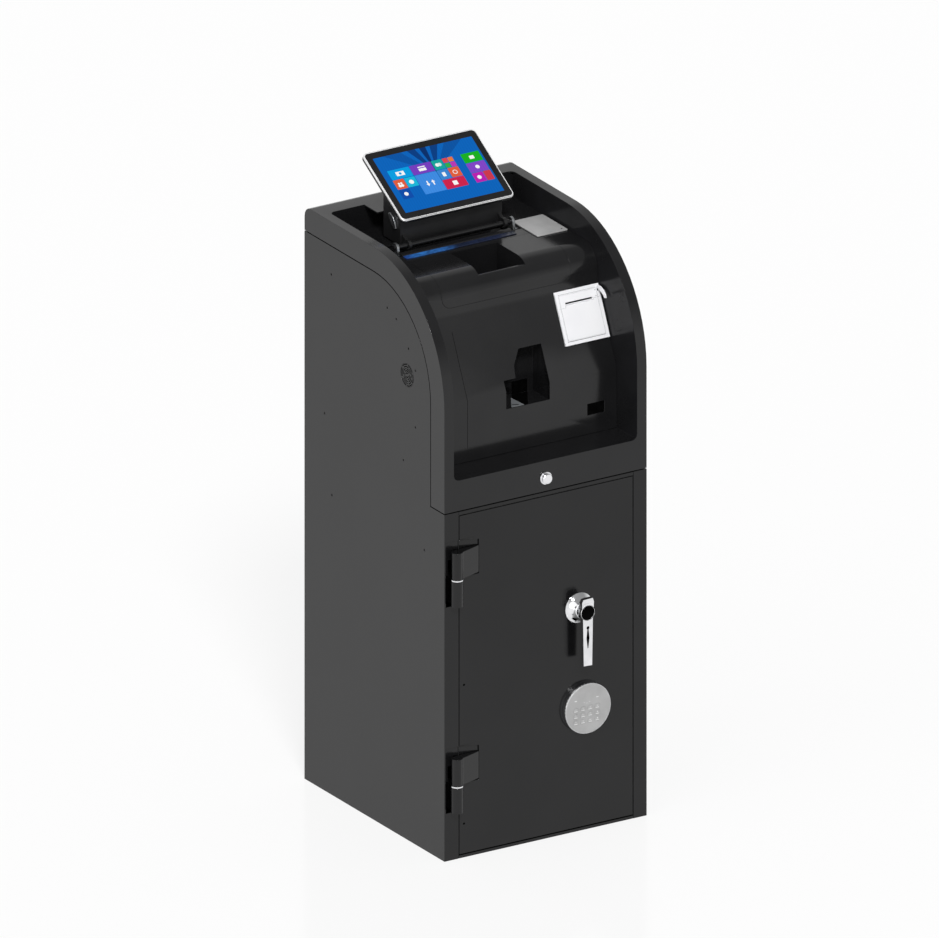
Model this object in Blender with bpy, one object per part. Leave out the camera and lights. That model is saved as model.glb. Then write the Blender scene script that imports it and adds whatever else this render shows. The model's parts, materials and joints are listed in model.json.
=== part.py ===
"""A floor-standing cash machine: a safe with a swinging door, a lift-up hood with a tilting tablet.

Metres, +Z up. The origin is the centre of the cabinet's footprint, on the floor, and the front faces -Y.
Every piece of sheet metal, every hinge and every lock is a solid of its own.
"""

from math import atan2, cos, pi, radians, sin

import bmesh
import bpy
from mathutils import Matrix, Vector

# Overall sizes
WIDTH = 0.445
DEPTH = 0.495
HEIGHT = 1.152
SEAM_HEIGHT = 0.697  # where the hood meets the safe
HOOD_RADIUS = 0.250  # the big front curve
REAR_RADIUS = 0.020  # the small curve at the top of the back
HOOD_BAND = 0.050  # how far the hood comes down on the cabinet's sides
SEAM_GAP = 0.002
SHEET = 0.003
FIT = 0.0004  # clearance between neighbours that touch

LEFT = -WIDTH / 2
RIGHT = WIDTH / 2
FRONT = -DEPTH / 2
BACK = DEPTH / 2
HOOD_FOOT = SEAM_HEIGHT + SEAM_GAP
SHOULDER = HEIGHT - HOOD_BAND  # top of the cabinet's sides, at the back

# Safe
BASE = 0.006
ROOF = 0.0065
POST_LEFT = 0.031
POST_RIGHT = 0.029
JAMB = 0.040  # how deep the posts return behind the front
NOTE_SLOT = (0.090, 0.040)  # in the safe's roof
NOTE_SLOT_BACK = 0.230
ANCHOR_RADIUS = 0.007
ANCHOR_INSET = (0.080, 0.080)  # from the sides, and from the front and back

# Door
DOOR_GAP = 0.002
DOOR_PLATE = 0.004
DOOR_EDGE = 0.012
LINER_INSET_HINGE = 0.072
LINER_INSET = 0.010
LINER_BACK = 0.036
LINER_SHEET = 0.002

# Door hinges
HINGE_AXIS_IN = 0.0215  # from the cabinet's left side
HINGE_AXIS_OUT = 0.010  # in front of the door
HINGE_TOPS = {"upper": 0.622, "lower": 0.2075}
KNUCKLE_RADIUS = 0.011
FOOT_RADIUS = 0.0122
KNUCKLE = 0.054
FOOT = 0.052
WASHER = 0.0026
PIN_RADIUS = 0.005
PIN_IN_KNUCKLE = 0.034
POCKET_ABOVE = 0.018
POCKET_BELOW = 0.003
LUG_REACH = 0.054  # from the axis along the door

# Handle and bolts
HANDLE_IN = 0.150  # from the cabinet's right side
HANDLE_HEIGHT = 0.450
ROSETTE_RADIUS = 0.030
ROSETTE = 0.020
LEVER_FACE = 0.0335
LEVER_THICK = 0.010
LEVER_UP = 0.019
LEVER_DOWN = 0.116
LEVER_WIDE = 0.022
LEVER_NARROW = 0.018
SPINDLE_RADIUS = 0.005
CRANK = 0.016
BOLT_RADIUS = 0.008
BOLT_DEPTH = 0.024  # of the bolts' centre lines behind the front
BOLT_TIP = 0.005  # from the tip to the door's free edge
BOLT_LENGTH = 0.046
BAR_WIDE = 0.016
BOLT_HEIGHTS = (0.130, 0.350, 0.570)

# Keypad
KEYPAD_IN = 0.136
KEYPAD_HEIGHT = 0.2475
KEYPAD_RADIUS = 0.050
KEYPAD_PROUD = 0.012
KEY_COLUMNS = 4
KEY_ROWS = 3
KEY_PITCH = (0.0158, 0.0126)
KEY_SIZE = (0.0110, 0.0086)
KEY_PROUD = 0.0006
KEY_TRAVEL = 0.001
KEY_LENGTH = 0.007
KEY_GRID_SHIFT = (-0.0037, -0.0111)

# Recess in the hood and the fascia in it
CHEEK = 0.021
SILL = 0.760
REAR_BAND = 0.054
TONGUE_FRONT = 0.100  # from the back
TONGUE_HALF = 0.1245
FASCIA_SHEET = 0.0025
FASCIA_DEPTH = 0.071  # lower, upright stretch
FASCIA_KNEE = 0.270  # below the top
FASCIA_SLOPE_TOP = 0.123
FASCIA_BROW = 0.138
BROW_RADIUS = 0.045
FLOOR_DROP = 0.050

# Note inlet, outlet, scanner, reader and light
HATCH_HALF = 0.1415
HATCH_FOOT = 0.106  # below the top
HATCH_BACK = 0.262
HATCH_RADIUS = 0.020
INLET_HALF = 0.0515
INLET_FOOT = 0.061
INLET_BACK = 0.255
CHUTE_FRONT = 0.158
CHUTE_DROP = 0.062
OUTLET_LEFT = -0.0420
OUTLET_RIGHT = 0.0535
OUTLET_FOOT = 0.304  # below the top
OUTLET_TOP = 0.202
SCANNER_IN = (0.086, 0.049)
SCANNER_HEIGHTS = (0.798, 0.821)
SCANNER_FLANGE = 0.004  # past the window, behind the fascia
SCANNER_DEEP = 0.030
READER_IN = (0.093, 0.026)
READER_DEPTHS = (0.236, 0.326)
READER_PLATE = 0.002
LIGHT_SPAN = (-0.1365, 0.1045)
LIGHT_DEPTHS = (0.2700, 0.2840)
LIGHT_PROUD = 0.0015

# Printer, on the fascia's slope
PRINTER_WIDE = 0.097
PRINTER_TALL = 0.103
PRINTER_THICK = 0.004
PRINTER_RIM = 0.0065
PRINTER_HOLE_IN = 0.005  # the hole in the fascia, in from the printer's edge
PRINTER_BODY_IN = 0.002
PRINTER_BELOW_TOP = 0.170
PRINTER_BODY_DEEP = 0.066
PRINTER_WALL = 0.004
COVER_PIVOT_UP = 0.0036
COVER_PIN = 0.0012
COVER_SLOT = (0.060, 0.003)
COVER_SLOT_DROP = 0.016
LEVER_TAB = (0.0036, 0.016)
ROLL_RADIUS = 0.024
ROLL_WIDE = 0.057
ROLL_CORE = 0.006

# Tablet and its tilting stand
TABLET = (0.247, 0.170)
TABLET_RADIUS = 0.010
TABLET_BACK = 0.0080
TABLET_GLASS = 0.0015
TABLET_TILT = radians(30.5)
TABLET_MIDDLE = (0.381, 0.051)  # behind the front, above the top
TILT_AXIS_BEHIND = 0.311
TILT_AXIS_DROP = 0.040
SHAFT_RADIUS = 0.005
CRADLE_SPAN = (-0.1155, 0.1085)
CRADLE_DEPTHS = (0.328, 0.388)
CRADLE_LIFT = 0.004
ARM = 0.006
ARM_RADIUS = 0.010
TILT_WELL = (-0.1425, 0.1275)
TILT_WELL_DEPTHS = (0.290, 0.346)
BRACKET_AT = {"left": -0.1385, "right": 0.1155}
BRACKET = 0.005
BRACKET_FLANGE = 0.020

# Hood hinge and hood lock
BARREL_RADIUS = 0.005
BARREL_BORE = 0.0024
HOOD_PIN = 0.0020
LEAF = 0.0025
LEAF_TALL = 0.026
LEAF_HALF = 0.150
MIDDLE_BARREL_HALF = 0.070
LOCK_UP = 0.0265  # above the seam
LOCK_HEAD_RADIUS = 0.0105
LOCK_HEAD = 0.009
LOCK_BARREL_RADIUS = 0.008
LOCK_BARREL = 0.016
TONGUE = (0.022, 0.014, 0.003)
STRIKE = (0.040, 0.014, 0.003)
STRIKE_BASE = 0.016  # back along the safe roof

# Inside the head and the safe
SPEAKER_AT = (0.132, 0.218)  # behind the front, below the top
SPEAKER_RADIUS = 0.023
SPEAKER_DEEP = 0.026
RECYCLER = (0.150, 0.170)  # width and depth
RECYCLER_TOP = 0.1296  # below the top
NOSE_FOOT = 0.277  # below the top
RECYCLER_FRONT = 0.158
NOSE = (0.072, 0.013, 0.050)
CONTROLLER = (0.105, 0.230, 0.180)
CONTROLLER_FRONT = 0.210
SUPPLY = (0.110, 0.150, 0.060)
SUPPLY_FRONT = 0.300
SHELF_HEIGHT = 0.330
SHELF_FRONT = 0.060
SHELF_FLANGE = 0.018  # down the safe walls
CASSETTE = (0.220, 0.350, 0.225)
CASSETTE_FRONT = 0.080
FAN_SIZE = 0.080
FAN_DEEP = 0.025
FAN_IN = 0.105
FAN_DROP = 0.120
FAN_RADIUS = 0.037
ROTOR_HUB = 0.014
ROTOR_BLADES = 5
INLET_PLUG = (0.050, 0.028)
INLET_PLUG_IN = 0.085
INLET_PLUG_HEIGHT = 0.745

BLACK_COAT = ("black_powder_coat", (0.020, 0.020, 0.021), 0.45, 0.0)
BLACK_FASCIA = ("black_satin_sheet", (0.014, 0.014, 0.015), 0.35, 0.0)
CHROME = ("chrome", (0.80, 0.80, 0.82), 0.10, 1.0)
ZINC = ("zinc_plated_steel", (0.52, 0.53, 0.55), 0.35, 1.0)
KEYPAD_METAL = ("satin_nickel", (0.42, 0.42, 0.42), 0.40, 0.8)
WHITE_PLASTIC = ("white_plastic", (0.84, 0.84, 0.86), 0.40, 0.0)
DARK_PLASTIC = ("dark_plastic", (0.018, 0.018, 0.019), 0.50, 0.0)
GREY_STEEL = ("grey_steel", (0.33, 0.34, 0.35), 0.45, 0.7)
GLASS_BLACK = ("black_glass", (0.010, 0.010, 0.012), 0.06, 0.0)
BLUE_LIGHT = ("blue_light_bar", (0.010, 0.090, 0.500), 0.30, 0.0)
PAPER = ("paper", (0.85, 0.85, 0.83), 0.80, 0.0)
ALUMINIUM = ("aluminium", (0.60, 0.61, 0.62), 0.35, 1.0)


# Places, from the cabinet's faces

def from_left(distance):
    return LEFT + distance


def from_right(distance):
    return RIGHT - distance


def behind_front(distance):
    return FRONT + distance


def below_top(distance):
    return HEIGHT - distance


# Outlines: lists of points in a plane

def arc(centre, radius, start, end, steps):
    """Points from one angle to another, in degrees, both ends included."""
    turns = [radians(start + (end - start) * i / steps) for i in range(steps + 1)]
    return [(centre[0] + radius * cos(a), centre[1] + radius * sin(a)) for a in turns]


def circle(centre, radius, sides):
    return arc(centre, radius, 0, 360 * (sides - 1) / sides, sides - 1)


def rectangle(low, high):
    return [low, (high[0], low[1]), high, (low[0], high[1])]


def rounded_rectangle(low, high, radius, steps=4):
    corners = (
        ((high[0] - radius, high[1] - radius), 0),
        ((low[0] + radius, high[1] - radius), 90),
        ((low[0] + radius, low[1] + radius), 180),
        ((high[0] - radius, low[1] + radius), 270),
    )
    points = []
    for centre, start in corners:
        points += arc(centre, radius, start, start + 90, steps)
    return points


def thick_path(path, thickness):
    """The outline of a sheet whose one face follows the path, and whose other lies to the path's right."""
    other = []
    for i, point in enumerate(path):
        normals = []
        for a, b in ((i - 1, i), (i, i + 1)):
            if a < 0 or b >= len(path):
                continue
            run = Vector(path[b]) - Vector(path[a])
            normals.append(Vector((run.y, -run.x)).normalized())
        normal = sum(normals, Vector((0, 0))).normalized()
        reach = thickness / normal.dot(normals[0])
        other.append(tuple(Vector(point) + normal * reach))
    return list(path) + other[::-1]


# Solids

def material(recipe):
    name, colour, roughness, metallic = recipe
    found = bpy.data.materials.get(name)
    if found:
        return found
    made = bpy.data.materials.new(name)
    made.use_nodes = True
    shader = made.node_tree.nodes["Principled BSDF"]
    shader.inputs["Base Color"].default_value = (*colour, 1)
    shader.inputs["Roughness"].default_value = roughness
    shader.inputs["Metallic"].default_value = metallic
    return made


def place(axis, u, v, along):
    """A point of an outline in the plane across this axis: (y, z) for X, (x, z) for Y, (x, y) for Z."""
    return {"X": (along, u, v), "Y": (u, along, v), "Z": (u, v, along)}[axis]


def solid_from(name, shape):
    bmesh.ops.recalc_face_normals(shape, faces=shape.faces)
    mesh = bpy.data.meshes.new(name)
    shape.to_mesh(mesh)
    shape.free()
    piece = bpy.data.objects.new(name, mesh)
    bpy.context.scene.collection.objects.link(piece)
    return piece


def prism(outline, axis, low, high, name="tool"):
    shape = bmesh.new()
    ends = []
    for along in (low, high):
        ends.append([shape.verts.new(place(axis, u, v, along)) for u, v in outline])
    for end in ends:
        shape.faces.new(end)
    for i in range(len(outline)):
        j = (i + 1) % len(outline)
        shape.faces.new((ends[0][i], ends[0][j], ends[1][j], ends[1][i]))
    return solid_from(name, shape)


def block(x, y, z, name="tool"):
    return prism(rectangle((x[0], y[0]), (x[1], y[1])), "Z", z[0], z[1], name)


def rod(axis, centre, radius, low, high, sides=16, name="tool"):
    return prism(circle(centre, radius, sides), axis, low, high, name)


def turned(axis, centre, profile, sides=24, name="tool"):
    """A solid of revolution. The profile is a closed outline of (radius, place along the axis)."""
    shape = bmesh.new()
    rings = []
    for radius, along in profile:
        if radius == 0:
            rings.append([shape.verts.new(place(axis, *centre, along))] * sides)
        else:
            outline = circle(centre, radius, sides)
            rings.append([shape.verts.new(place(axis, u, v, along)) for u, v in outline])
    for ring, following in zip(rings, rings[1:] + rings[:1]):
        for i in range(sides):
            j = (i + 1) % sides
            corners = dict.fromkeys((ring[i], ring[j], following[j], following[i]))
            if len(corners) > 2:
                shape.faces.new(tuple(corners))
    return solid_from(name, shape)


def boolean(piece, tools, operation):
    for tool in tools:
        modifier = piece.modifiers.new(operation.title(), "BOOLEAN")
        modifier.operation = operation
        modifier.solver = "EXACT"
        modifier.object = tool
        graph = bpy.context.evaluated_depsgraph_get()
        mesh = bpy.data.meshes.new_from_object(piece.evaluated_get(graph))
        piece.modifiers.clear()
        piece.data = mesh
        bpy.data.objects.remove(tool)
    return piece


def cut(piece, *tools):
    return boolean(piece, tools, "DIFFERENCE")


def join(piece, *tools):
    return boolean(piece, tools, "UNION")


def keep_inside(piece, *tools):
    return boolean(piece, tools, "INTERSECT")


def turn(piece, matrix):
    """Puts a piece that was modelled flat into its slanting place."""
    piece.data.transform(matrix)
    return piece


def finish(piece, name, recipe, origin, parent):
    """Names the piece, gives it its material, and moves its origin without moving the piece."""
    piece.name = name
    piece.data.name = name
    piece.data.materials.clear()
    piece.data.materials.append(material(recipe))
    piece.data.transform(Matrix.Translation(-Vector(origin)))
    piece.location = Vector(origin) - parent.location
    piece.parent = parent
    piece.data.shade_smooth()
    piece.data.set_sharp_from_angle(angle=radians(30))
    return piece


def assembly(name, origin=(0, 0, 0)):
    """An empty on the joint's axis, which carries the pieces of one moving body."""
    empty = bpy.data.objects.new(name, None)
    empty.location = origin
    bpy.context.scene.collection.objects.link(empty)
    return empty


# Cabinet

def side_outline():
    corner = (behind_front(HOOD_RADIUS), below_top(HOOD_RADIUS))
    return [
        (FRONT, 0),
        (FRONT, SEAM_HEIGHT),
        (behind_front(HOOD_BAND), SEAM_HEIGHT),
        *arc(corner, HOOD_RADIUS - HOOD_BAND, 180, 90, 14),
        (BACK, SHOULDER),
        (BACK, 0),
    ][::-1]


def hinge_heights():
    """(top, foot) of each door hinge."""
    return [(top, top - KNUCKLE - WASHER - FOOT) for top in HINGE_TOPS.values()]


def make_side(outer, inward, post, parent, name):
    """A side sheet that folds round into the front post and back along the door opening."""
    def across(distance):
        return outer + inward * distance

    def span(a, b):
        return tuple(sorted((across(a), across(b))))

    side = prism(side_outline(), "X", *span(0, SHEET))
    join(
        side,
        block(span(0, post), (FRONT, behind_front(SHEET)), (0, SEAM_HEIGHT)),
        block(
            span(post - SHEET, post),
            (FRONT, behind_front(JAMB)),
            (BASE + FIT, SEAM_HEIGHT - ROOF - FIT),
        ),
    )
    if inward > 0:
        for top, foot in hinge_heights():
            ceiling = top + POCKET_ABOVE
            knuckle_foot = top - KNUCKLE - WASHER
            cut(
                side,
                block(
                    span(SHEET, post + SHEET),
                    (FRONT - SHEET, behind_front(SHEET + FIT)),
                    (foot - POCKET_BELOW, ceiling),
                ),
                block(
                    span(SHEET, post + SHEET),
                    (FRONT - SHEET, behind_front(JAMB + SHEET)),
                    (knuckle_foot, ceiling),
                ),
            )
        middle = (behind_front(SPEAKER_AT[0]), below_top(SPEAKER_AT[1]))
        cut(side, rod("X", middle, SPEAKER_RADIUS + FIT, *span(-SHEET, 2 * SHEET), 24))
    else:
        for height in BOLT_HEIGHTS:
            middle = (behind_front(BOLT_DEPTH), height)
            cut(side, rod("X", middle, BOLT_RADIUS + 0.001, *span(post - 2 * SHEET, post + SHEET)))
    return finish(side, name, BLACK_COAT, (across(0), 0, 0), parent)


def floor_outline(margin):
    """A plate between the sides and the back, whose tongue closes the front between the posts."""
    inner = (LEFT + SHEET + margin, RIGHT - SHEET - margin)
    step = behind_front(SHEET + margin)
    posts = (from_left(POST_LEFT + margin), from_right(POST_RIGHT + margin))
    rear = BACK - SHEET - margin
    return [
        (posts[0], FRONT),
        (posts[1], FRONT),
        (posts[1], step),
        (inner[1], step),
        (inner[1], rear),
        (inner[0], rear),
        (inner[0], step),
        (posts[0], step),
    ]


def make_cabinet(parent):
    make_side(LEFT, 1, POST_LEFT, parent, "side_left")
    make_side(RIGHT, -1, POST_RIGHT, parent, "side_right")

    base = prism(floor_outline(FIT), "Z", 0, BASE)
    for x in (LEFT + ANCHOR_INSET[0], RIGHT - ANCHOR_INSET[0]):
        for y in (FRONT + ANCHOR_INSET[1], BACK - ANCHOR_INSET[1]):
            cut(base, rod("Z", (x, y), ANCHOR_RADIUS, -BASE, 2 * BASE, 12))
    finish(base, "base_plate", BLACK_COAT, (0, 0, 0), parent)
    roof = prism(floor_outline(FIT), "Z", SEAM_HEIGHT - ROOF, SEAM_HEIGHT)
    slot = behind_front(NOTE_SLOT_BACK)
    cut(
        roof,
        block(
            (-NOTE_SLOT[0] / 2, NOTE_SLOT[0] / 2),
            (slot - NOTE_SLOT[1], slot),
            (SEAM_HEIGHT - 2 * ROOF, SEAM_HEIGHT + ROOF),
        ),
    )
    finish(roof, "safe_roof", BLACK_COAT, (0, 0, SEAM_HEIGHT), parent)

    back = block(
        (LEFT + SHEET + FIT, RIGHT - SHEET - FIT), (BACK - SHEET, BACK), (0, SHOULDER - FIT)
    )
    through = (BACK - 2 * SHEET, BACK + SHEET)
    plug = (from_left(INLET_PLUG_IN), INLET_PLUG_HEIGHT)
    half = (INLET_PLUG[0] / 2 - 0.010, INLET_PLUG[1] / 2 - 0.003)
    cut(
        back,
        rod("Y", fan_middle(), FAN_RADIUS, *through, 24),
        block(
            (plug[0] - half[0], plug[0] + half[0]), through, (plug[1] - half[1], plug[1] + half[1])
        ),
    )
    finish(back, "back_panel", BLACK_COAT, (0, BACK, 0), parent)


def make_hinge_feet(parent):
    """The lower half of each lift-off hinge: barrel, bright washer, pin and the lug in the pocket."""
    x = from_left(HINGE_AXIS_IN)
    y = FRONT - HINGE_AXIS_OUT
    for place_name, (_, foot) in zip(HINGE_TOPS, hinge_heights()):
        shelf = foot + FOOT
        knuckle_foot = shelf + WASHER
        pin_top = knuckle_foot + PIN_IN_KNUCKLE
        barrel = turned(
            "Z",
            (x, y),
            [
                (0, foot),
                (FOOT_RADIUS, foot),
                (FOOT_RADIUS, shelf),
                (KNUCKLE_RADIUS, shelf),
                (KNUCKLE_RADIUS, knuckle_foot - FIT),
                (PIN_RADIUS, knuckle_foot - FIT),
                (PIN_RADIUS, pin_top),
                (0, pin_top),
            ],
        )
        lug = block(
            (x - 0.004, from_left(POST_LEFT - SHEET - FIT)),
            (y, behind_front(JAMB - SHEET)),
            (foot, shelf),
        )
        join(barrel, lug)
        finish(barrel, f"door_hinge_foot_{place_name}", BLACK_COAT, (x, y, foot), parent)


def barrel_line():
    """(y, z) of the hood hinge's pin."""
    return BACK + BARREL_RADIUS + FIT, SHOULDER + SEAM_GAP / 2


def make_leaf(up, spans, name, parent):
    """A plate above or below the pin (up is 1 or -1), with barrels rolled on it over these spans of X."""
    y, z = barrel_line()
    clear = z + up * (BARREL_RADIUS + 0.0012)

    def heights(a, b):
        return tuple(sorted((a, b)))

    plate_depth = (BACK + FIT, BACK + FIT + LEAF)
    leaf = block((-LEAF_HALF, LEAF_HALF), plate_depth, heights(clear, z + up * LEAF_TALL))
    for low, high in spans:
        join(leaf, rod("X", (y, z), BARREL_RADIUS, low, high, 16))
        join(leaf, block((low, high), plate_depth, heights(z + up * BARREL_BORE, clear + up * FIT)))
    cut(leaf, rod("X", (y, z), BARREL_BORE, -WIDTH, WIDTH, 12))
    return finish(leaf, name, BLACK_COAT, (0, y, z), parent)


def make_hood_hinge_base(parent):
    y, z = barrel_line()
    make_leaf(-1, [(-MIDDLE_BARREL_HALF, MIDDLE_BARREL_HALF)], "hood_hinge_cabinet_leaf", parent)
    pin = rod("X", (y, z), HOOD_PIN, -LEAF_HALF, LEAF_HALF, 12)
    finish(pin, "hood_hinge_pin", ZINC, (0, y, z), parent)


def fan_middle():
    return from_right(FAN_IN), below_top(FAN_DROP)


def make_fan_frame(parent):
    x, z = fan_middle()
    half = FAN_SIZE / 2
    rear = BACK - SHEET - FIT
    front = rear - FAN_DEEP
    frame = prism(
        rounded_rectangle((x - half, z - half), (x + half, z + half), 0.005, 2), "Y", front, rear
    )
    cut(frame, rod("Y", (x, z), FAN_RADIUS, front - 0.01, rear + 0.01, 24))
    arm = 0.0025
    strut = 0.003
    join(
        frame,
        block((x - FAN_RADIUS - strut, x + FAN_RADIUS + strut), (front, front + strut), (z - arm, z + arm)),
        rod("Y", (x, z), ROTOR_HUB - 0.002, front, front + strut, 16),
        rod("Y", (x, z), 0.002, front, rear - 0.006, 12),
    )
    finish(frame, "fan_frame", DARK_PLASTIC, (x, front, z), parent)


def make_fan_rotor(parent):
    x, z = fan_middle()
    front = BACK - SHEET - FIT - FAN_DEEP + 0.003 + 0.0005
    rear = front + 0.018
    rotor = turned(
        "Y",
        (x, z),
        [(0.0025, front), (ROTOR_HUB, front), (ROTOR_HUB, rear), (0.0025, rear)],
        20,
    )
    middle = Vector((x, (front + rear) / 2, z))
    reach = FAN_RADIUS - 0.002
    for i in range(ROTOR_BLADES):
        blade = block((ROTOR_HUB - 0.002, reach), (-0.0008, 0.0008), (-0.009, 0.009))
        pitch = Matrix.Rotation(radians(55), 4, "X")
        spin = Matrix.Rotation(2 * pi * i / ROTOR_BLADES, 4, "Y")
        join(rotor, turn(blade, Matrix.Translation(middle) @ spin @ pitch))
    finish(rotor, "fan_rotor", DARK_PLASTIC, (x, front, z), parent)


def make_head_contents(parent):
    shelf = SEAM_HEIGHT + FIT
    half = RECYCLER[0] / 2
    front = behind_front(RECYCLER_FRONT)
    top = below_top(RECYCLER_TOP)
    foot = below_top(NOSE_FOOT)
    recycler = block((-half, half), (front, front + RECYCLER[1]), (shelf, top))
    nose = block((-NOSE[0] / 2, NOSE[0] / 2), (front - NOSE[1], front + 0.004), (foot, foot + NOSE[2]))
    join(recycler, nose)
    slot = behind_front(NOTE_SLOT_BACK)
    cut(
        recycler,
        block((-half + 0.02, half - 0.02), (front + 0.015, front + 0.085), (top - 0.03, top + 0.01)),
        block(
            (-NOTE_SLOT[0] / 2, NOTE_SLOT[0] / 2), (slot - NOTE_SLOT[1], slot), (shelf - 0.01, shelf + 0.02)
        ),
    )
    finish(recycler, "note_recycler", GREY_STEEL, (0, front, shelf), parent)

    x = RIGHT - SHEET - 0.012
    front = behind_front(CONTROLLER_FRONT)
    controller = block(
        (x - CONTROLLER[0], x), (front, front + CONTROLLER[1]), (shelf, shelf + CONTROLLER[2])
    )
    finish(controller, "controller_box", GREY_STEEL, (x, front, shelf), parent)

    x = LEFT + SHEET + 0.018
    front = behind_front(SUPPLY_FRONT)
    supply = block((x, x + SUPPLY[0]), (front, front + SUPPLY[1]), (shelf, shelf + SUPPLY[2]))
    finish(supply, "power_supply", ALUMINIUM, (x, front, shelf), parent)

    middle = (behind_front(SPEAKER_AT[0]), below_top(SPEAKER_AT[1]))
    speaker = turned(
        "X",
        middle,
        [
            (0, LEFT),
            (SPEAKER_RADIUS, LEFT),
            (SPEAKER_RADIUS, LEFT + SHEET + FIT),
            (SPEAKER_RADIUS + 0.004, LEFT + SHEET + FIT),
            (SPEAKER_RADIUS + 0.004, LEFT + SHEET + 0.004),
            (SPEAKER_RADIUS * 0.6, LEFT + SPEAKER_DEEP * 0.6),
            (SPEAKER_RADIUS * 0.6, LEFT + SPEAKER_DEEP),
            (0, LEFT + SPEAKER_DEEP),
        ],
    )
    finish(speaker, "speaker", BLACK_COAT, (LEFT, *middle), parent)

    x = from_left(INLET_PLUG_IN)
    wide, tall = INLET_PLUG[0] / 2, INLET_PLUG[1] / 2
    z = INLET_PLUG_HEIGHT
    inlet = block((x - wide, x + wide), (BACK + FIT, BACK + 0.0025), (z - tall, z + tall))
    inner = (wide - 0.011, tall - 0.0045)
    join(
        inlet,
        block((x - inner[0], x + inner[0]), (BACK - 0.026, BACK + 0.002), (z - inner[1], z + inner[1])),
    )
    cut(
        inlet,
        block(
            (x - inner[0] + 0.002, x + inner[0] - 0.002),
            (BACK - 0.018, BACK + 0.01),
            (z - inner[1] + 0.002, z + inner[1] - 0.002),
        ),
    )
    for step in (-1, 0, 1):
        pin = x + step * 0.007
        join(
            inlet,
            block((pin - 0.001, pin + 0.001), (BACK - 0.019, BACK - 0.004), (z - 0.0025, z + 0.0025)),
        )
    finish(inlet, "power_inlet", DARK_PLASTIC, (x, BACK, z), parent)


def make_safe_contents(parent):
    side = (LEFT + SHEET + FIT, RIGHT - SHEET - FIT)
    rear = BACK - SHEET - FIT
    shelf = block(side, (behind_front(SHELF_FRONT), rear), (SHELF_HEIGHT, SHELF_HEIGHT + SHEET))
    flange = (SHELF_HEIGHT - SHELF_FLANGE, SHELF_HEIGHT + SHEET)
    for low, high in ((side[0], side[0] + SHEET), (side[1] - SHEET, side[1])):
        join(shelf, block((low, high), (behind_front(SHELF_FRONT), rear), flange))
    finish(shelf, "cassette_shelf", GREY_STEEL, (0, 0, SHELF_HEIGHT), parent)

    half = CASSETTE[0] / 2
    front = behind_front(CASSETTE_FRONT)
    foot = SHELF_HEIGHT + SHEET + FIT
    top = foot + CASSETTE[2]
    cassette = block((-half, half), (front, front + CASSETTE[1]), (foot, top))
    grip = foot + CASSETTE[2] / 2
    slot = behind_front(NOTE_SLOT_BACK)
    cut(
        cassette,
        block((-half * 0.6, half * 0.6), (front - 0.01, front + 0.020), (grip - 0.020, grip + 0.020)),
        block((-0.040, 0.040), (slot - NOTE_SLOT[1], slot), (top - 0.012, top + 0.010)),
    )
    join(
        cassette,
        rod("X", (front + 0.007, grip), 0.005, -half * 0.6 - 0.002, half * 0.6 + 0.002, 12),
    )
    finish(cassette, "cash_cassette", DARK_PLASTIC, (0, front, foot), parent)

    wide, tall, thick = STRIKE
    near = behind_front(LOCK_BARREL - 0.0035)
    strike = block((-wide / 2, wide / 2), (near - thick, near), (SEAM_HEIGHT + FIT, SEAM_HEIGHT + tall))
    base = SEAM_HEIGHT + FIT
    join(strike, block((-wide / 2, wide / 2), (near - thick, near + STRIKE_BASE), (base, base + thick)))
    finish(strike, "hood_lock_strike", ZINC, (0, near, SEAM_HEIGHT), parent)


# Door

def door_limits():
    low = (from_left(POST_LEFT + DOOR_GAP), BASE + DOOR_GAP)
    high = (from_right(POST_RIGHT + DOOR_GAP), SEAM_HEIGHT - ROOF - DOOR_GAP)
    return low, high


def handle_middle():
    return from_right(HANDLE_IN), HANDLE_HEIGHT


def keypad_middle():
    return from_right(KEYPAD_IN), KEYPAD_HEIGHT


def make_door_panel(parent, origin):
    low, high = door_limits()
    plate = DOOR_PLATE
    door = prism(rectangle(low, high), "Y", FRONT, behind_front(DOOR_EDGE))
    cut(
        door,
        prism(
            rectangle((low[0] + plate, low[1] + plate), (high[0] - plate, high[1] - plate)),
            "Y",
            behind_front(plate),
            behind_front(DOOR_EDGE * 2),
        ),
    )
    lug_end = from_left(HINGE_AXIS_IN + LUG_REACH) + FIT
    for top, _ in hinge_heights():
        cut(
            door,
            block(
                (low[0] - plate, lug_end),
                (FRONT - plate, behind_front(DOOR_EDGE * 2)),
                (top - KNUCKLE - POCKET_BELOW, top + POCKET_ABOVE),
            ),
        )
    through = (FRONT - plate, behind_front(plate * 2))
    cut(door, rod("Y", handle_middle(), SPINDLE_RADIUS + 0.001, *through))
    finish(door, "door_panel", BLACK_COAT, origin, parent)


def make_door_liner(parent, origin):
    """A shallow pan that closes the door's inside and guides the bolts."""
    low, high = door_limits()
    low = (low[0] + LINER_INSET_HINGE, low[1] + LINER_INSET)
    high = (high[0] - LINER_INSET, high[1] - LINER_INSET)
    sheet = LINER_SHEET
    liner = prism(rectangle(low, high), "Y", behind_front(DOOR_PLATE + FIT), behind_front(LINER_BACK))
    cut(
        liner,
        prism(
            rectangle((low[0] + sheet, low[1] + sheet), (high[0] - sheet, high[1] - sheet)),
            "Y",
            FRONT,
            behind_front(LINER_BACK - sheet),
        ),
    )
    for height in BOLT_HEIGHTS:
        middle = (behind_front(BOLT_DEPTH), height)
        cut(liner, rod("X", middle, BOLT_RADIUS + 0.0005, high[0] - 2 * sheet, high[0] + sheet))
    finish(liner, "door_liner", BLACK_COAT, origin, parent)


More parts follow.
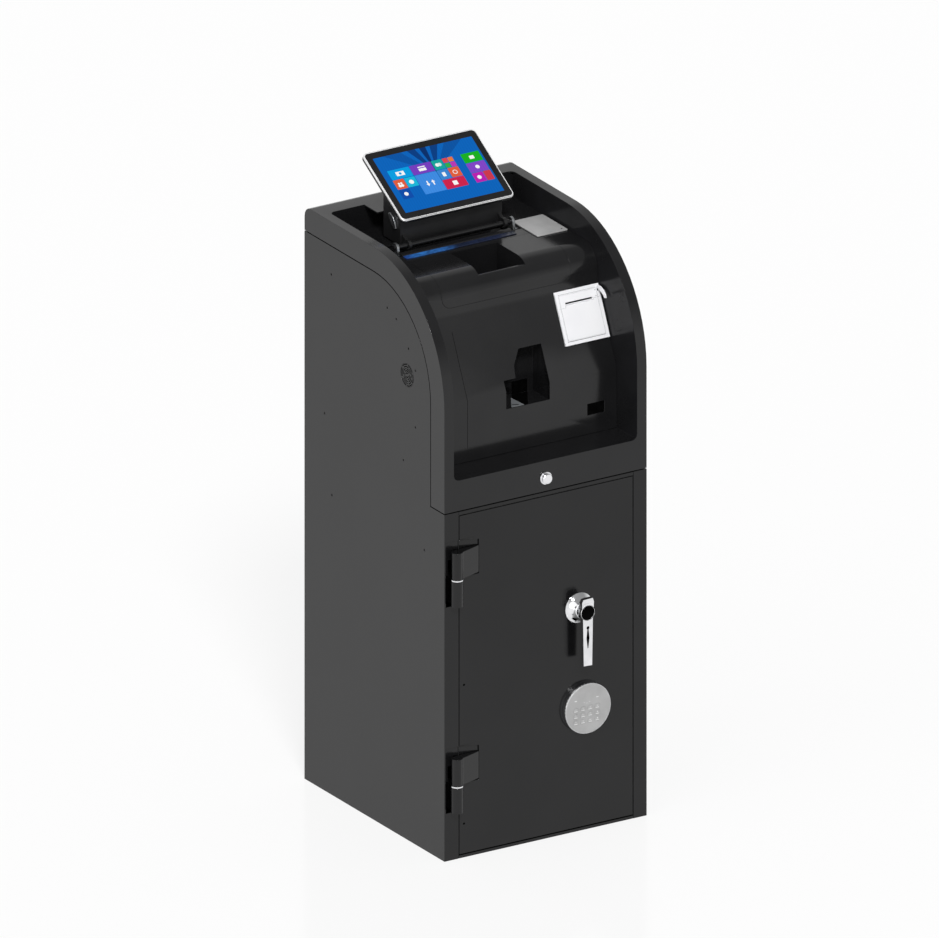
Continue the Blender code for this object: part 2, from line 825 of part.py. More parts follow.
def make_hinge_knuckles(parent, origin):
    x = from_left(HINGE_AXIS_IN)
    y = FRONT - HINGE_AXIS_OUT
    for place_name, (top, foot) in zip(HINGE_TOPS, hinge_heights()):
        low = foot + FOOT + WASHER
        bore_top = low + PIN_IN_KNUCKLE + 0.001
        knuckle = rod("Z", (x, y), KNUCKLE_RADIUS, low, top, 20)
        end = x + LUG_REACH
        weld = end + 0.020
        lug = prism(
            [
                (x, y - KNUCKLE_RADIUS + 0.0003),
                (x + 0.012, FRONT - 0.0145),
                (end - 0.002, FRONT - 0.0015),
                (end, FRONT),
                (end, behind_front(DOOR_PLATE + FIT)),
                (weld, behind_front(DOOR_PLATE + FIT)),
                (weld, behind_front(DOOR_EDGE - 0.003)),
                (x + 0.003, behind_front(DOOR_EDGE - 0.003)),
                (x + 0.003, y),
                (x, y),
            ],
            "Z",
            low,
            top,
        )
        join(knuckle, lug)
        cut(knuckle, rod("Z", (x, y), PIN_RADIUS + FIT, low - 0.01, bore_top, 20))
        finish(knuckle, f"door_hinge_knuckle_{place_name}", BLACK_COAT, origin, parent)


def make_rosette(parent, origin):
    foot = FRONT - FIT
    rosette = turned(
        "Y",
        handle_middle(),
        [
            (SPINDLE_RADIUS + 0.001, foot),
            (SPINDLE_RADIUS + 0.001, FRONT - ROSETTE),
            (0.0165, FRONT - ROSETTE),
            (0.0185, FRONT - ROSETTE * 0.85),
            (0.0215, FRONT - ROSETTE * 0.45),
            (0.0270, FRONT - ROSETTE * 0.20),
            (ROSETTE_RADIUS, FRONT - 0.002),
            (ROSETTE_RADIUS, foot),
        ],
        28,
    )
    finish(rosette, "handle_rosette", CHROME, origin, parent)


def make_handle(parent):
    x, z = handle_middle()
    face = FRONT - LEVER_FACE
    rear = face + LEVER_THICK
    outline = [
        (x - LEVER_WIDE / 2 + 0.002, z + LEVER_UP),
        (x + LEVER_WIDE / 2 - 0.002, z + LEVER_UP),
        (x + LEVER_WIDE / 2, z),
        (x + LEVER_NARROW / 2, z - LEVER_DOWN),
        (x - LEVER_NARROW / 2, z - LEVER_DOWN),
        (x - LEVER_WIDE / 2, z),
    ]
    lever = prism(outline, "Y", face, rear)
    slot_depth = behind_front(BOLT_DEPTH)
    join(
        lever,
        rod("Y", (x, z), 0.012, rear - 0.002, FRONT - ROSETTE - 0.001, 16),
        rod("Y", (x, z), SPINDLE_RADIUS, rear - 0.002, slot_depth - 0.006, 12),
        block(
            (x - 0.006, x + 0.006), (slot_depth - 0.010, slot_depth - 0.006), (z - 0.008, z + CRANK + 0.005)
        ),
        rod("Y", (x, z + CRANK), 0.003, slot_depth - 0.007, slot_depth + 0.004, 12),
    )
    finish(lever, "handle_lever", CHROME, (x, FRONT, z), parent)


def make_bolt_bar(parent):
    """The link from the handle's crank to the upright bar that carries the bolts."""
    x, z = handle_middle()
    free_edge = door_limits()[1][0]
    tip = free_edge - BOLT_TIP
    bar = (tip - BOLT_LENGTH, tip - BOLT_LENGTH + BAR_WIDE)
    depth = (behind_front(BOLT_DEPTH - 0.002), behind_front(BOLT_DEPTH + 0.002))
    upright = block(bar, depth, (BOLT_HEIGHTS[0] - 0.012, BOLT_HEIGHTS[-1] + 0.012))
    join(upright, block((x - 0.016, bar[1]), depth, (z - 0.012, z + CRANK + 0.016)))
    half = 0.003 + 0.0042
    cut(
        upright,
        block((x - half, x + half), (FRONT, behind_front(BOLT_DEPTH * 2)), (z - 0.006, z + CRANK + 0.0055)),
    )
    for height in BOLT_HEIGHTS:
        join(upright, rod("X", (behind_front(BOLT_DEPTH), height), BOLT_RADIUS, bar[0] - 0.004, tip, 16))
    finish(upright, "bolt_bar", ZINC, (tip, behind_front(BOLT_DEPTH), z), parent)


def key_middles():
    """(number, x, z) of each key, row by row from the top left."""
    x, z = keypad_middle()
    middle = (x + KEY_GRID_SHIFT[0], z + KEY_GRID_SHIFT[1])
    for row in range(KEY_ROWS):
        for column in range(KEY_COLUMNS):
            across = (column - (KEY_COLUMNS - 1) / 2) * KEY_PITCH[0]
            down = (row - (KEY_ROWS - 1) / 2) * KEY_PITCH[1]
            yield row * KEY_COLUMNS + column + 1, middle[0] + across, middle[1] - down


def key_outline(x, z, grow=0.0):
    half = (KEY_SIZE[0] / 2 + grow, KEY_SIZE[1] / 2 + grow)
    return rounded_rectangle((x - half[0], z - half[1]), (x + half[0], z + half[1]), 0.002 + grow, 1)


def make_keypad(parent, origin):
    x, z = keypad_middle()
    face = FRONT - KEYPAD_PROUD
    foot = FRONT - FIT
    edge = KEYPAD_RADIUS
    disc = turned(
        "Y", (x, z), [(0, foot), (edge, foot), (edge, face + 0.0015), (edge - 0.0015, face), (0, face)], 48
    )
    bottom = face - KEY_PROUD + KEY_LENGTH + KEY_TRAVEL + 0.0005
    for _, key_x, key_z in key_middles():
        cut(disc, prism(key_outline(key_x, key_z, FIT), "Y", face - 0.01, bottom))
    finish(disc, "keypad_housing", KEYPAD_METAL, origin, parent)


def make_key(number, x, z, parent):
    face = FRONT - KEYPAD_PROUD - KEY_PROUD
    key = prism(key_outline(x, z), "Y", face, face + KEY_LENGTH)
    finish(key, f"key_{number:02d}", KEYPAD_METAL, (x, face, z), parent)


# Hood

def hood_curve(inset, foot):
    """The hood's outside from the front's foot round to the back's foot, moved inward by the inset."""
    front_middle = (behind_front(HOOD_RADIUS), below_top(HOOD_RADIUS))
    rear_middle = (BACK - REAR_RADIUS, below_top(REAR_RADIUS))
    return [
        (behind_front(inset), foot),
        *arc(front_middle, HOOD_RADIUS - inset, 180, 90, 18),
        *arc(rear_middle, REAR_RADIUS - inset, 90, 0, 4),
    ]


def fascia_path():
    """The face that the user sees, from the sill up the slope, over the brow and along the floor."""
    brow = (behind_front(FASCIA_BROW + BROW_RADIUS), below_top(FLOOR_DROP + BROW_RADIUS))
    return [
        (behind_front(FASCIA_DEPTH), SILL + FIT),
        (behind_front(FASCIA_DEPTH), below_top(FASCIA_KNEE)),
        (behind_front(FASCIA_BROW), below_top(FASCIA_SLOPE_TOP)),
        *arc(brow, BROW_RADIUS, 180, 90, 8),
        (BACK - REAR_BAND - FIT, below_top(FLOOR_DROP)),
    ]


def make_hood_shell(parent, origin):
    seam_middle = (behind_front(HOOD_RADIUS), below_top(HOOD_RADIUS))
    seam = arc(seam_middle, HOOD_RADIUS - HOOD_BAND + SEAM_GAP, 90, 180, 14)
    outline = [
        *hood_curve(0, HOOD_FOOT),
        (BACK, SHOULDER + SEAM_GAP),
        *seam,
        (behind_front(HOOD_BAND - SEAM_GAP), HOOD_FOOT),
    ]
    shell = prism(outline, "X", LEFT, RIGHT)
    hollow = [*hood_curve(SHEET, SEAM_HEIGHT / 2), (BACK - SHEET, SEAM_HEIGHT / 2)]
    cut(shell, prism(hollow, "X", LEFT + SHEET, RIGHT - SHEET))

    opening = (from_left(CHEEK), from_right(CHEEK))
    over = HEIGHT + SHEET
    rear_edge = BACK - REAR_BAND
    tongue = BACK - TONGUE_FRONT
    corner = 0.011
    cut(
        shell,
        prism(
            rounded_rectangle((opening[0], SILL), (opening[1], over + 2 * corner), corner),
            "Y",
            FRONT - SHEET,
            behind_front(HOOD_RADIUS),
        ),
        prism(
            [
                (opening[0], behind_front(HOOD_RADIUS - 0.02)),
                (opening[1], behind_front(HOOD_RADIUS - 0.02)),
                *arc((opening[1] - corner, rear_edge - corner), corner, 0, 90, 4),
                (TONGUE_HALF, rear_edge),
                (TONGUE_HALF, tongue),
                (-TONGUE_HALF, tongue),
                (-TONGUE_HALF, rear_edge),
                *arc((opening[0] + corner, rear_edge - corner), corner, 90, 180, 4),
            ],
            "Z",
            below_top(REAR_RADIUS),
            over,
        ),
    )

    behind = FASCIA_SHEET + 0.004
    backs = thick_path(fascia_path(), behind)[len(fascia_path()):]
    floor = below_top(FLOOR_DROP) - behind
    wall = [
        (behind_front(SHEET / 2), SILL - SHEET),
        *hood_curve(SHEET / 2, SILL)[1:20],
        (rear_edge + SHEET, below_top(SHEET / 2)),
        (rear_edge + SHEET, floor),
        *backs[1:-1],
        (backs[-1][0], SILL - SHEET),
    ]
    for low in (opening[0] - SHEET, opening[1]):
        join(shell, prism(wall, "X", low, low + SHEET))
    inner = (opening[0] - SHEET / 2, opening[1] + SHEET / 2)
    join(
        shell,
        block(inner, (behind_front(SHEET / 2), backs[-1][0]), (SILL - SHEET, SILL)),
        block(inner, (rear_edge, rear_edge + SHEET), (floor, below_top(SHEET / 2))),
    )
    lock = (0, HOOD_FOOT + LOCK_UP)
    cut(shell, rod("Y", lock, LOCK_BARREL_RADIUS + FIT, FRONT - SHEET, behind_front(2 * SHEET)))
    finish(shell, "hood_shell", BLACK_COAT, origin, parent)


def hatch_outline(grow):
    return rounded_rectangle(
        (-HATCH_HALF - grow, below_top(HATCH_FOOT) - grow),
        (HATCH_HALF + grow, HEIGHT + 0.05),
        HATCH_RADIUS + grow,
    )


def make_fascia(parent, origin):
    sides = (from_left(CHEEK + FIT), from_right(CHEEK + FIT))
    fascia = prism(thick_path(fascia_path(), FASCIA_SHEET), "X", *sides)
    cut(
        fascia,
        prism(
            hatch_outline(FIT),
            "Y",
            behind_front(FASCIA_BROW - 0.02),
            behind_front(HATCH_BACK + FIT),
        ),
        prism(outlet_outline(), "Y", behind_front(FASCIA_DEPTH - 0.02), behind_front(FASCIA_BROW)),
        prism(
            rectangle(
                (from_right(SCANNER_IN[0]), SCANNER_HEIGHTS[0]),
                (from_right(SCANNER_IN[1]), SCANNER_HEIGHTS[1]),
            ),
            "Y",
            behind_front(FASCIA_DEPTH - 0.02),
            behind_front(FASCIA_DEPTH + 0.02),
        ),
        block(
            TILT_WELL,
            (behind_front(TILT_WELL_DEPTHS[0]), behind_front(TILT_WELL_DEPTHS[1])),
            (below_top(FLOOR_DROP + 0.02), HEIGHT),
        ),
        turn(printer_block(-PRINTER_HOLE_IN, (-0.02, 0.02)), printer_frame()),
    )
    finish(fascia, "fascia_panel", BLACK_FASCIA, origin, parent)


def make_hatch(parent, origin):
    """The moulding round the note inlet, with the chute under it."""
    over_fascia = thick_path(fascia_path(), FASCIA_SHEET)
    hatch = prism(over_fascia, "X", -WIDTH / 2, WIDTH / 2)
    keep_inside(
        hatch,
        prism(
            hatch_outline(0), "Y", behind_front(FASCIA_BROW - 0.02), behind_front(HATCH_BACK)
        ),
    )
    floor = below_top(FLOOR_DROP)
    wall = 0.002
    rear = behind_front(INLET_BACK + wall)
    front = behind_front(CHUTE_FRONT)
    brow = behind_front(FASCIA_BROW + BROW_RADIUS)
    chute = prism(
        [
            (front, floor - CHUTE_DROP),
            (rear, floor - CHUTE_DROP),
            (rear, floor - FASCIA_SHEET / 2),
            (brow, floor - FASCIA_SHEET / 2),
            (brow - 0.015, floor - FASCIA_SHEET / 2 - 0.0028),
            (front, floor - 0.0105),
        ],
        "X",
        -INLET_HALF - wall,
        INLET_HALF + wall,
    )
    join(hatch, chute)
    sides = (-INLET_HALF, INLET_HALF)
    cut(
        hatch,
        block(sides, (behind_front(FASCIA_BROW - 0.02), rear - wall), (below_top(INLET_FOOT), HEIGHT)),
        block(sides, (front + wall, rear - wall), (floor - 2 * CHUTE_DROP, HEIGHT)),
    )
    finish(hatch, "inlet_hatch", BLACK_FASCIA, origin, parent)


def outlet_outline():
    """A doorway with a finger scoop above it."""
    foot, top = below_top(OUTLET_FOOT), below_top(OUTLET_TOP)
    lintel = (foot + top) / 2 + 0.003
    scoop = OUTLET_LEFT + 0.026
    return [
        (OUTLET_LEFT, foot),
        (OUTLET_RIGHT, foot),
        (OUTLET_RIGHT, top),
        (scoop + 0.020, top),
        (scoop + 0.003, top - 0.026),
        (scoop, lintel),
        (OUTLET_LEFT, lintel),
    ]


def make_outlet_tray(parent, origin):
    """The pocket behind the outlet, cut to the fascia's slope, with a window for the recycler's nose."""
    sheet = 0.002
    low, high = below_top(OUTLET_FOOT) - 0.008, below_top(OUTLET_TOP) + 0.008
    rear = behind_front(RECYCLER_FRONT) - NOSE[1] - 0.002
    path = fascia_path()
    slope = (path[2][0] - path[1][0]) / (path[2][1] - path[1][1])
    clear = FASCIA_SHEET / cos(atan2(slope, 1)) + FIT
    knee = path[1]
    outline = [
        (knee[0] + clear, low),
        (rear, low),
        (rear, high),
        (knee[0] + clear + slope * (high - knee[1]), high),
        (knee[0] + clear, knee[1]),
    ]
    sides = (OUTLET_LEFT - 0.008, OUTLET_RIGHT + 0.008)
    tray = prism(outline, "X", *sides)
    hollow = prism(
        [
            (knee[0] - 0.05, low + sheet),
            (rear - sheet, low + sheet),
            (rear - sheet, high - sheet),
            (knee[0] - 0.05, high - sheet),
        ],
        "X",
        sides[0] + sheet,
        sides[1] - sheet,
    )
    half = NOSE[0] / 2 + 0.003
    foot = below_top(NOSE_FOOT)
    window = block(
        (-half + 0.006, half + 0.006), (rear - 0.02, rear + 0.02), (foot - 0.005, foot + NOSE[2] + 0.005)
    )
    cut(tray, hollow, window)
    finish(tray, "outlet_tray", BLACK_FASCIA, origin, parent)


def make_scanner(parent, origin):
    x = (from_right(SCANNER_IN[0]), from_right(SCANNER_IN[1]))
    z = SCANNER_HEIGHTS
    back = behind_front(FASCIA_DEPTH + FASCIA_SHEET) + FIT
    grow = SCANNER_FLANGE
    body = block((x[0] - grow, x[1] + grow), (back, back + SCANNER_DEEP), (z[0] - grow, z[1] + grow))
    window = (behind_front(FASCIA_DEPTH + 0.001), back + 0.001)
    join(
        body,
        block((x[0] + FIT, x[1] - FIT), window, (z[0] + FIT, z[1] - FIT)),
    )
    finish(body, "code_scanner", GLASS_BLACK, origin, parent)


def make_top_fittings(parent, origin):
    floor = below_top(FLOOR_DROP) + FIT
    plate = prism(
        rounded_rectangle(
            (from_right(READER_IN[0]), behind_front(READER_DEPTHS[0])),
            (from_right(READER_IN[1]), behind_front(READER_DEPTHS[1])),
            0.003,
            2,
        ),
        "Z",
        floor,
        floor + READER_PLATE,
    )
    finish(plate, "reader_plate", ALUMINIUM, origin, parent)
    light = block(
        LIGHT_SPAN,
        (behind_front(LIGHT_DEPTHS[0]), behind_front(LIGHT_DEPTHS[1])),
        (floor, floor + LIGHT_PROUD),
    )
    finish(light, "light_bar", BLUE_LIGHT, origin, parent)


def make_hood_lock(parent):
    z = HOOD_FOOT + LOCK_UP
    lock = turned(
        "Y",
        (0, z),
        [
            (0, FRONT - LOCK_HEAD),
            (LOCK_HEAD_RADIUS - 0.0015, FRONT - LOCK_HEAD),
            (LOCK_HEAD_RADIUS, FRONT - LOCK_HEAD + 0.0015),
            (LOCK_HEAD_RADIUS, FRONT - FIT),
            (LOCK_BARREL_RADIUS, FRONT - FIT),
            (LOCK_BARREL_RADIUS, behind_front(LOCK_BARREL)),
            (0, behind_front(LOCK_BARREL)),
        ],
    )
    reach, tall, thick = TONGUE
    rear = behind_front(LOCK_BARREL)
    join(lock, block((-tall / 2, reach), (rear - 0.0005, rear + thick), (z - tall / 2, z + tall / 2)))
    finish(lock, "hood_lock", CHROME, (0, FRONT, z), parent)


def make_hood_leaf(parent):
    spans = [(-LEAF_HALF, -MIDDLE_BARREL_HALF - FIT), (MIDDLE_BARREL_HALF + FIT, LEAF_HALF)]
    make_leaf(1, spans, "hood_hinge_hood_leaf", parent)


# Printer: modelled flat with X across, Y out of the fascia, Z up its slope

def printer_middle():
    lean = atan2(FASCIA_BROW - FASCIA_DEPTH, FASCIA_KNEE - FASCIA_SLOPE_TOP)
    x = from_right(CHEEK + 0.0025 + PRINTER_WIDE / 2)
    z = below_top(PRINTER_BELOW_TOP)
    knee = below_top(FASCIA_KNEE)
    y = behind_front(FASCIA_DEPTH) + (z - knee) * (sin(lean) / cos(lean))
    return Vector((x, y, z)), lean


def printer_frame():
    middle, lean = printer_middle()
    return Matrix.Translation(middle) @ Matrix.Rotation(-lean, 4, "X")


def printer_block(grow, depth):
    """A block as big as the printer's face, grown all round, between two depths behind the slope."""
    half = (PRINTER_WIDE / 2 + grow, PRINTER_TALL / 2 + grow)
    return block((-half[0], half[0]), depth, (-half[1], half[1]))


def cover_pivot():
    """The cover's axis in the printer's flat frame: (y, z)."""
    low = -PRINTER_TALL / 2 + PRINTER_RIM + 2 * FIT
    return -FIT - PRINTER_THICK / 2, low + COVER_PIVOT_UP


def tab_middle():
    """The release tab in the printer's flat frame: (x, y, z)."""
    x = PRINTER_WIDE / 2 - PRINTER_RIM / 2
    return x, -FIT - PRINTER_THICK / 2, PRINTER_TALL / 2 - 0.010


def make_printer(parent, origin):
    place_it = printer_frame()
    face = (-FIT - PRINTER_THICK, -FIT)
    frame = printer_block(0, face)
    pivot_y, pivot_z = cover_pivot()
    half = PRINTER_WIDE / 2
    pin_reach = half - PRINTER_RIM + 0.003
    tab_x, _, tab_z = tab_middle()
    cut(
        frame,
        printer_block(-PRINTER_RIM, (-0.02, 0.02)),
        rod("X", (pivot_y, pivot_z), COVER_PIN + FIT, -pin_reach - FIT, pin_reach + FIT, 8),
        block(
            (tab_x - LEVER_TAB[0] / 2 - FIT, tab_x + LEVER_TAB[0] / 2 + FIT),
            (-0.02, 0.02),
            (tab_z - 0.0040, tab_z + 0.0040),
        ),
    )
    finish(turn(frame, place_it), "printer_frame", WHITE_PLASTIC, origin, parent)

    front = FASCIA_SHEET + FIT
    body = printer_block(-PRINTER_BODY_IN, (front, front + PRINTER_BODY_DEEP))
    wide = ROLL_WIDE / 2 + 0.002
    tall = ROLL_RADIUS + 0.003
    cut(
        body,
        block((-wide, wide), (-0.02, front + PRINTER_BODY_DEEP - PRINTER_WALL), (-tall, tall)),
    )
    y, z = roll_middle()
    for side in (-1, 1):
        ends = sorted((side * (wide + 0.001), side * (wide - 0.006)))
        join(body, rod("X", (y, z), ROLL_CORE - FIT, *ends, 12))
    finish(turn(body, place_it), "printer_body", DARK_PLASTIC, origin, parent)


def roll_middle():
    return FASCIA_SHEET + PRINTER_BODY_DEEP - PRINTER_WALL - ROLL_RADIUS - 0.003, 0.0


def make_printer_cover(parent):
    pivot_y, pivot_z = cover_pivot()
    half = PRINTER_WIDE / 2 - PRINTER_RIM - FIT
    low = -PRINTER_TALL / 2 + PRINTER_RIM + 2 * FIT
    high = PRINTER_TALL / 2 - PRINTER_RIM - FIT
    face = (-FIT - PRINTER_THICK, -FIT)
    cover = block((-half, half), face, (low, high))
    slot = high - COVER_SLOT_DROP
    cut(
        cover,
        block((-COVER_SLOT[0] / 2, COVER_SLOT[0] / 2), (-0.02, 0.02), (slot - COVER_SLOT[1], slot)),
    )
    join(cover, rod("X", (pivot_y, pivot_z), COVER_PIN, -half - 0.0025, half + 0.0025, 8))
    place_it = printer_frame()
    origin = place_it @ Vector((0, pivot_y, pivot_z))
    finish(turn(cover, place_it), "printer_cover", WHITE_PLASTIC, origin, parent)


def make_printer_tab(parent):
    x, y, z = tab_middle()
    half = LEVER_TAB[0] / 2
    tab = rod("X", (y, z), PRINTER_THICK / 2 - 0.0002, x - half, x + half, 12)
    join(tab, block((x - half, x + half), (y - LEVER_TAB[1], y), (z - 0.0014, z + 0.0014)))
    place_it = printer_frame()
    finish(turn(tab, place_it), "printer_release_tab", WHITE_PLASTIC, place_it @ Vector((x, y, z)), parent)


def make_paper_roll(parent):
    y, z = roll_middle()
    half = ROLL_WIDE / 2
    profile = [(ROLL_CORE, -half), (ROLL_RADIUS, -half), (ROLL_RADIUS, half), (ROLL_CORE, half)]
    roll = turned("X", (y, z), profile, 24)
    place_it = printer_frame()
    finish(turn(roll, place_it), "paper_roll", PAPER, place_it @ Vector((0, y, z)), parent)


# Tablet stand

def tilt_line():
    """(y, z) of the tilting shaft."""
    return behind_front(TILT_AXIS_BEHIND), below_top(TILT_AXIS_DROP)


def make_brackets(parent, origin):
    y, z = tilt_line()
    under = below_top(FLOOR_DROP) - FASCIA_SHEET - FIT
    for side, x in BRACKET_AT.items():
        bracket = prism(
            [
                (y - 0.011, under - SHEET),
                (y + 0.011, under - SHEET),
                *arc((y, z), 0.009, 0, 180, 8),
            ],
            "X",
            x,
            x + BRACKET,
        )
        outward = (x - BRACKET_FLANGE, x + BRACKET) if x < 0 else (x, x + BRACKET + BRACKET_FLANGE)
        join(bracket, block(outward, (y - 0.011, y + 0.011), (under - SHEET, under)))
        cut(bracket, rod("X", (y, z), SHAFT_RADIUS + FIT, x - BRACKET, x + 2 * BRACKET, 16))
        finish(bracket, f"tilt_bracket_{side}", ZINC, origin, parent)


def tablet_frame():
    behind, above = TABLET_MIDDLE
    middle = Vector((0, behind_front(behind), HEIGHT + above))
    return Matrix.Translation(middle) @ Matrix.Rotation(TABLET_TILT, 4, "X")


def make_tablet(parent):
    y, z = tilt_line()
    origin = Vector((0, y, z))
    half = (TABLET[0] / 2, TABLET[1] / 2)
    outline = rounded_rectangle((-half[0], -half[1]), half, TABLET_RADIUS)
    thick = TABLET_BACK + TABLET_GLASS
    place_it = tablet_frame()
    housing = prism(outline, "Z", -thick / 2, thick / 2 - TABLET_GLASS - FIT)
    finish(turn(housing, place_it), "tablet_housing", ALUMINIUM, origin, parent)
    edge = 0.0012
    glass = prism(
        rounded_rectangle(
            (-half[0] + edge, -half[1] + edge), (half[0] - edge, half[1] - edge), TABLET_RADIUS - edge
        ),
        "Z",
        thick / 2 - TABLET_GLASS,
        thick / 2,
    )
    finish(turn(glass, place_it), "tablet_glass", GLASS_BLACK, origin, parent)

    shaft = rod(
        "X",
        (y, z),
        SHAFT_RADIUS,
        BRACKET_AT["left"] - 0.003,
        BRACKET_AT["right"] + BRACKET + 0.003,
        16,
    )
    finish(shaft, "tilt_shaft", ZINC, origin, parent)

    under = place_it @ Vector((0, 0, -thick / 2 - FIT))
    rise = sin(TABLET_TILT) / cos(TABLET_TILT)
    depths = [behind_front(depth) for depth in CRADLE_DEPTHS]
    foot = below_top(FLOOR_DROP) + CRADLE_LIFT
    tops = [under.z + (depth - under.y) * rise - FIT for depth in depths]
    cradle = prism(
        [(depths[0], foot), (depths[1], foot), (depths[1], tops[1]), (depths[0], tops[0])],
        "X",
        *CRADLE_SPAN,
    )
    for x in (CRADLE_SPAN[0] + 0.004, CRADLE_SPAN[1] - 0.004 - ARM):
        arm = prism(
            [
                (y, z - ARM_RADIUS),
                (y + 0.006, z - ARM_RADIUS),
                (depths[0] + 0.004, foot),
                (depths[0] + 0.004, foot + 0.024),
                *arc((y, z), ARM_RADIUS, 60, 270, 8)[:-1],
            ],
            "X",
            x,
            x + ARM,
        )
        join(cradle, arm)
        cut(cradle, rod("X", (y, z), SHAFT_RADIUS + FIT, x - ARM, x + 2 * ARM, 16))
    finish(cradle, "tablet_cradle", DARK_PLASTIC, origin, parent)


def main():
    for thing in list(bpy.data.objects):
        bpy.data.objects.remove(thing)

    cabinet = assembly("cabinet")
    make_cabinet(cabinet)
    make_hinge_feet(cabinet)
    make_hood_hinge_base(cabinet)
    make_fan_frame(cabinet)
    make_head_contents(cabinet)
    make_safe_contents(cabinet)

    fan_x, fan_z = fan_middle()
    make_fan_rotor(assembly("fan", (fan_x, BACK - FAN_DEEP, fan_z)))

    door_axis = (from_left(HINGE_AXIS_IN), FRONT - HINGE_AXIS_OUT, 0)
    door = assembly("door", door_axis)
    make_door_panel(door, door_axis)
    make_door_liner(door, door_axis)
    make_hinge_knuckles(door, door_axis)
    make_rosette(door, door_axis)
    make_keypad(door, door_axis)
    x, z = handle_middle()
    make_handle(assembly("handle", (x, FRONT, z)))
    make_bolt_bar(assembly("bolts", (x, behind_front(BOLT_DEPTH), z)))
    for number, x, z in key_middles():
        make_key(number, x, z, assembly(f"keypad_button_{number:02d}", (x, FRONT, z)))

    hood_axis = (0, *barrel_line())
    hood = assembly("hood", hood_axis)
    make_hood_shell(hood, hood_axis)
    make_fascia(hood, hood_axis)
    make_hatch(hood, hood_axis)
    make_outlet_tray(hood, hood_axis)
    make_scanner(hood, hood_axis)
    make_top_fittings(hood, hood_axis)
    make_printer(hood, hood_axis)
    make_brackets(hood, hood_axis)
    make_hood_leaf(hood)
    make_hood_lock(assembly("lock", (0, FRONT, HOOD_FOOT + LOCK_UP)))

    place_it = printer_frame()
    make_printer_cover(assembly("cover", place_it @ Vector((0, *cover_pivot()))))
    make_printer_tab(assembly("tab", place_it @ Vector(tab_middle())))
    make_paper_roll(assembly("roll", place_it @ Vector((0, *roll_middle()))))
    make_tablet(assembly("tablet", (0, *tilt_line())))


main()
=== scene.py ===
"""A floor-standing cash machine: a powder-coated steel safe under a curved lift-up hood with a touch screen.

The frame is the CAD's: x to the right, the front towards -y, the floor at z = 0. Places are in metres.
Outlines, profiles, radii, depths and eased edges are in millimetres.
"""

import json
from math import cos, hypot, pi, radians, sin

import bmesh
import bpy
from mathutils import Matrix, Vector


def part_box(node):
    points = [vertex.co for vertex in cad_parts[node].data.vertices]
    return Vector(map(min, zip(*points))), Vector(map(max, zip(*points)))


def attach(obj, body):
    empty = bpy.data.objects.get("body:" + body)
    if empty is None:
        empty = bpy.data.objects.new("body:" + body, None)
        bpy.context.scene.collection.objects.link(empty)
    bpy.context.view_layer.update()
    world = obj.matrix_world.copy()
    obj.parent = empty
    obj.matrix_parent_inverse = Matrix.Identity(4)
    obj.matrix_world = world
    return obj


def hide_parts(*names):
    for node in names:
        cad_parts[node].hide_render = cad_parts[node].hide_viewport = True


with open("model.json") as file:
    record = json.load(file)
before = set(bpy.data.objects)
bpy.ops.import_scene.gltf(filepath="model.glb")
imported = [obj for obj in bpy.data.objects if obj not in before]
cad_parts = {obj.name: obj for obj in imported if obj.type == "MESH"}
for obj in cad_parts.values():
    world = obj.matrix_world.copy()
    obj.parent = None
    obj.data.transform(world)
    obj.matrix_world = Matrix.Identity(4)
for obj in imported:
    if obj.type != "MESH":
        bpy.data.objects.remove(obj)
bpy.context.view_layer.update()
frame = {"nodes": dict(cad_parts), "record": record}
MM = 0.001
BODY_OF = {node: body for body, nodes in frame["record"]["behaviour"]["bodies"].items() for node in nodes}


# ---------------------------------------------------------------- colours and nodes


def linear(code):
    """An sRGB hex colour as linear RGBA."""
    channels = [int(code[i : i + 2], 16) / 255 for i in (1, 3, 5)]
    return [c / 12.92 if c <= 0.04045 else ((c + 0.055) / 1.055) ** 2.4 for c in channels] + [1.0]


def per_metre(millimetres):
    """The scale of a texture whose features are this far apart."""
    return 1000 / millimetres


def add(tree, kind, inputs=None, **settings):
    """One node with its settings; an input takes a value or the socket that feeds it."""
    made = tree.nodes.new(kind)
    for name, value in settings.items():
        setattr(made, name, value)
    for name, value in (inputs or {}).items():
        if isinstance(value, bpy.types.NodeSocket):
            tree.links.new(value, made.inputs[name])
        else:
            made.inputs[name].default_value = value
    return made


def base_of(name, **constants):
    """A new material, its tree, its surface shader with these constants, and the piece's own coordinates."""
    made = bpy.data.materials.new(name)
    made.use_nodes = True
    tree = made.node_tree
    tree.nodes.clear()
    surface = add(tree, "ShaderNodeBsdfPrincipled")
    for socket, value in constants.items():
        surface.inputs[socket.replace("_", " ")].default_value = value
    add(tree, "ShaderNodeOutputMaterial", {"Surface": surface.outputs[0]})
    return made, tree, surface, add(tree, "ShaderNodeTexCoord").outputs["Object"]


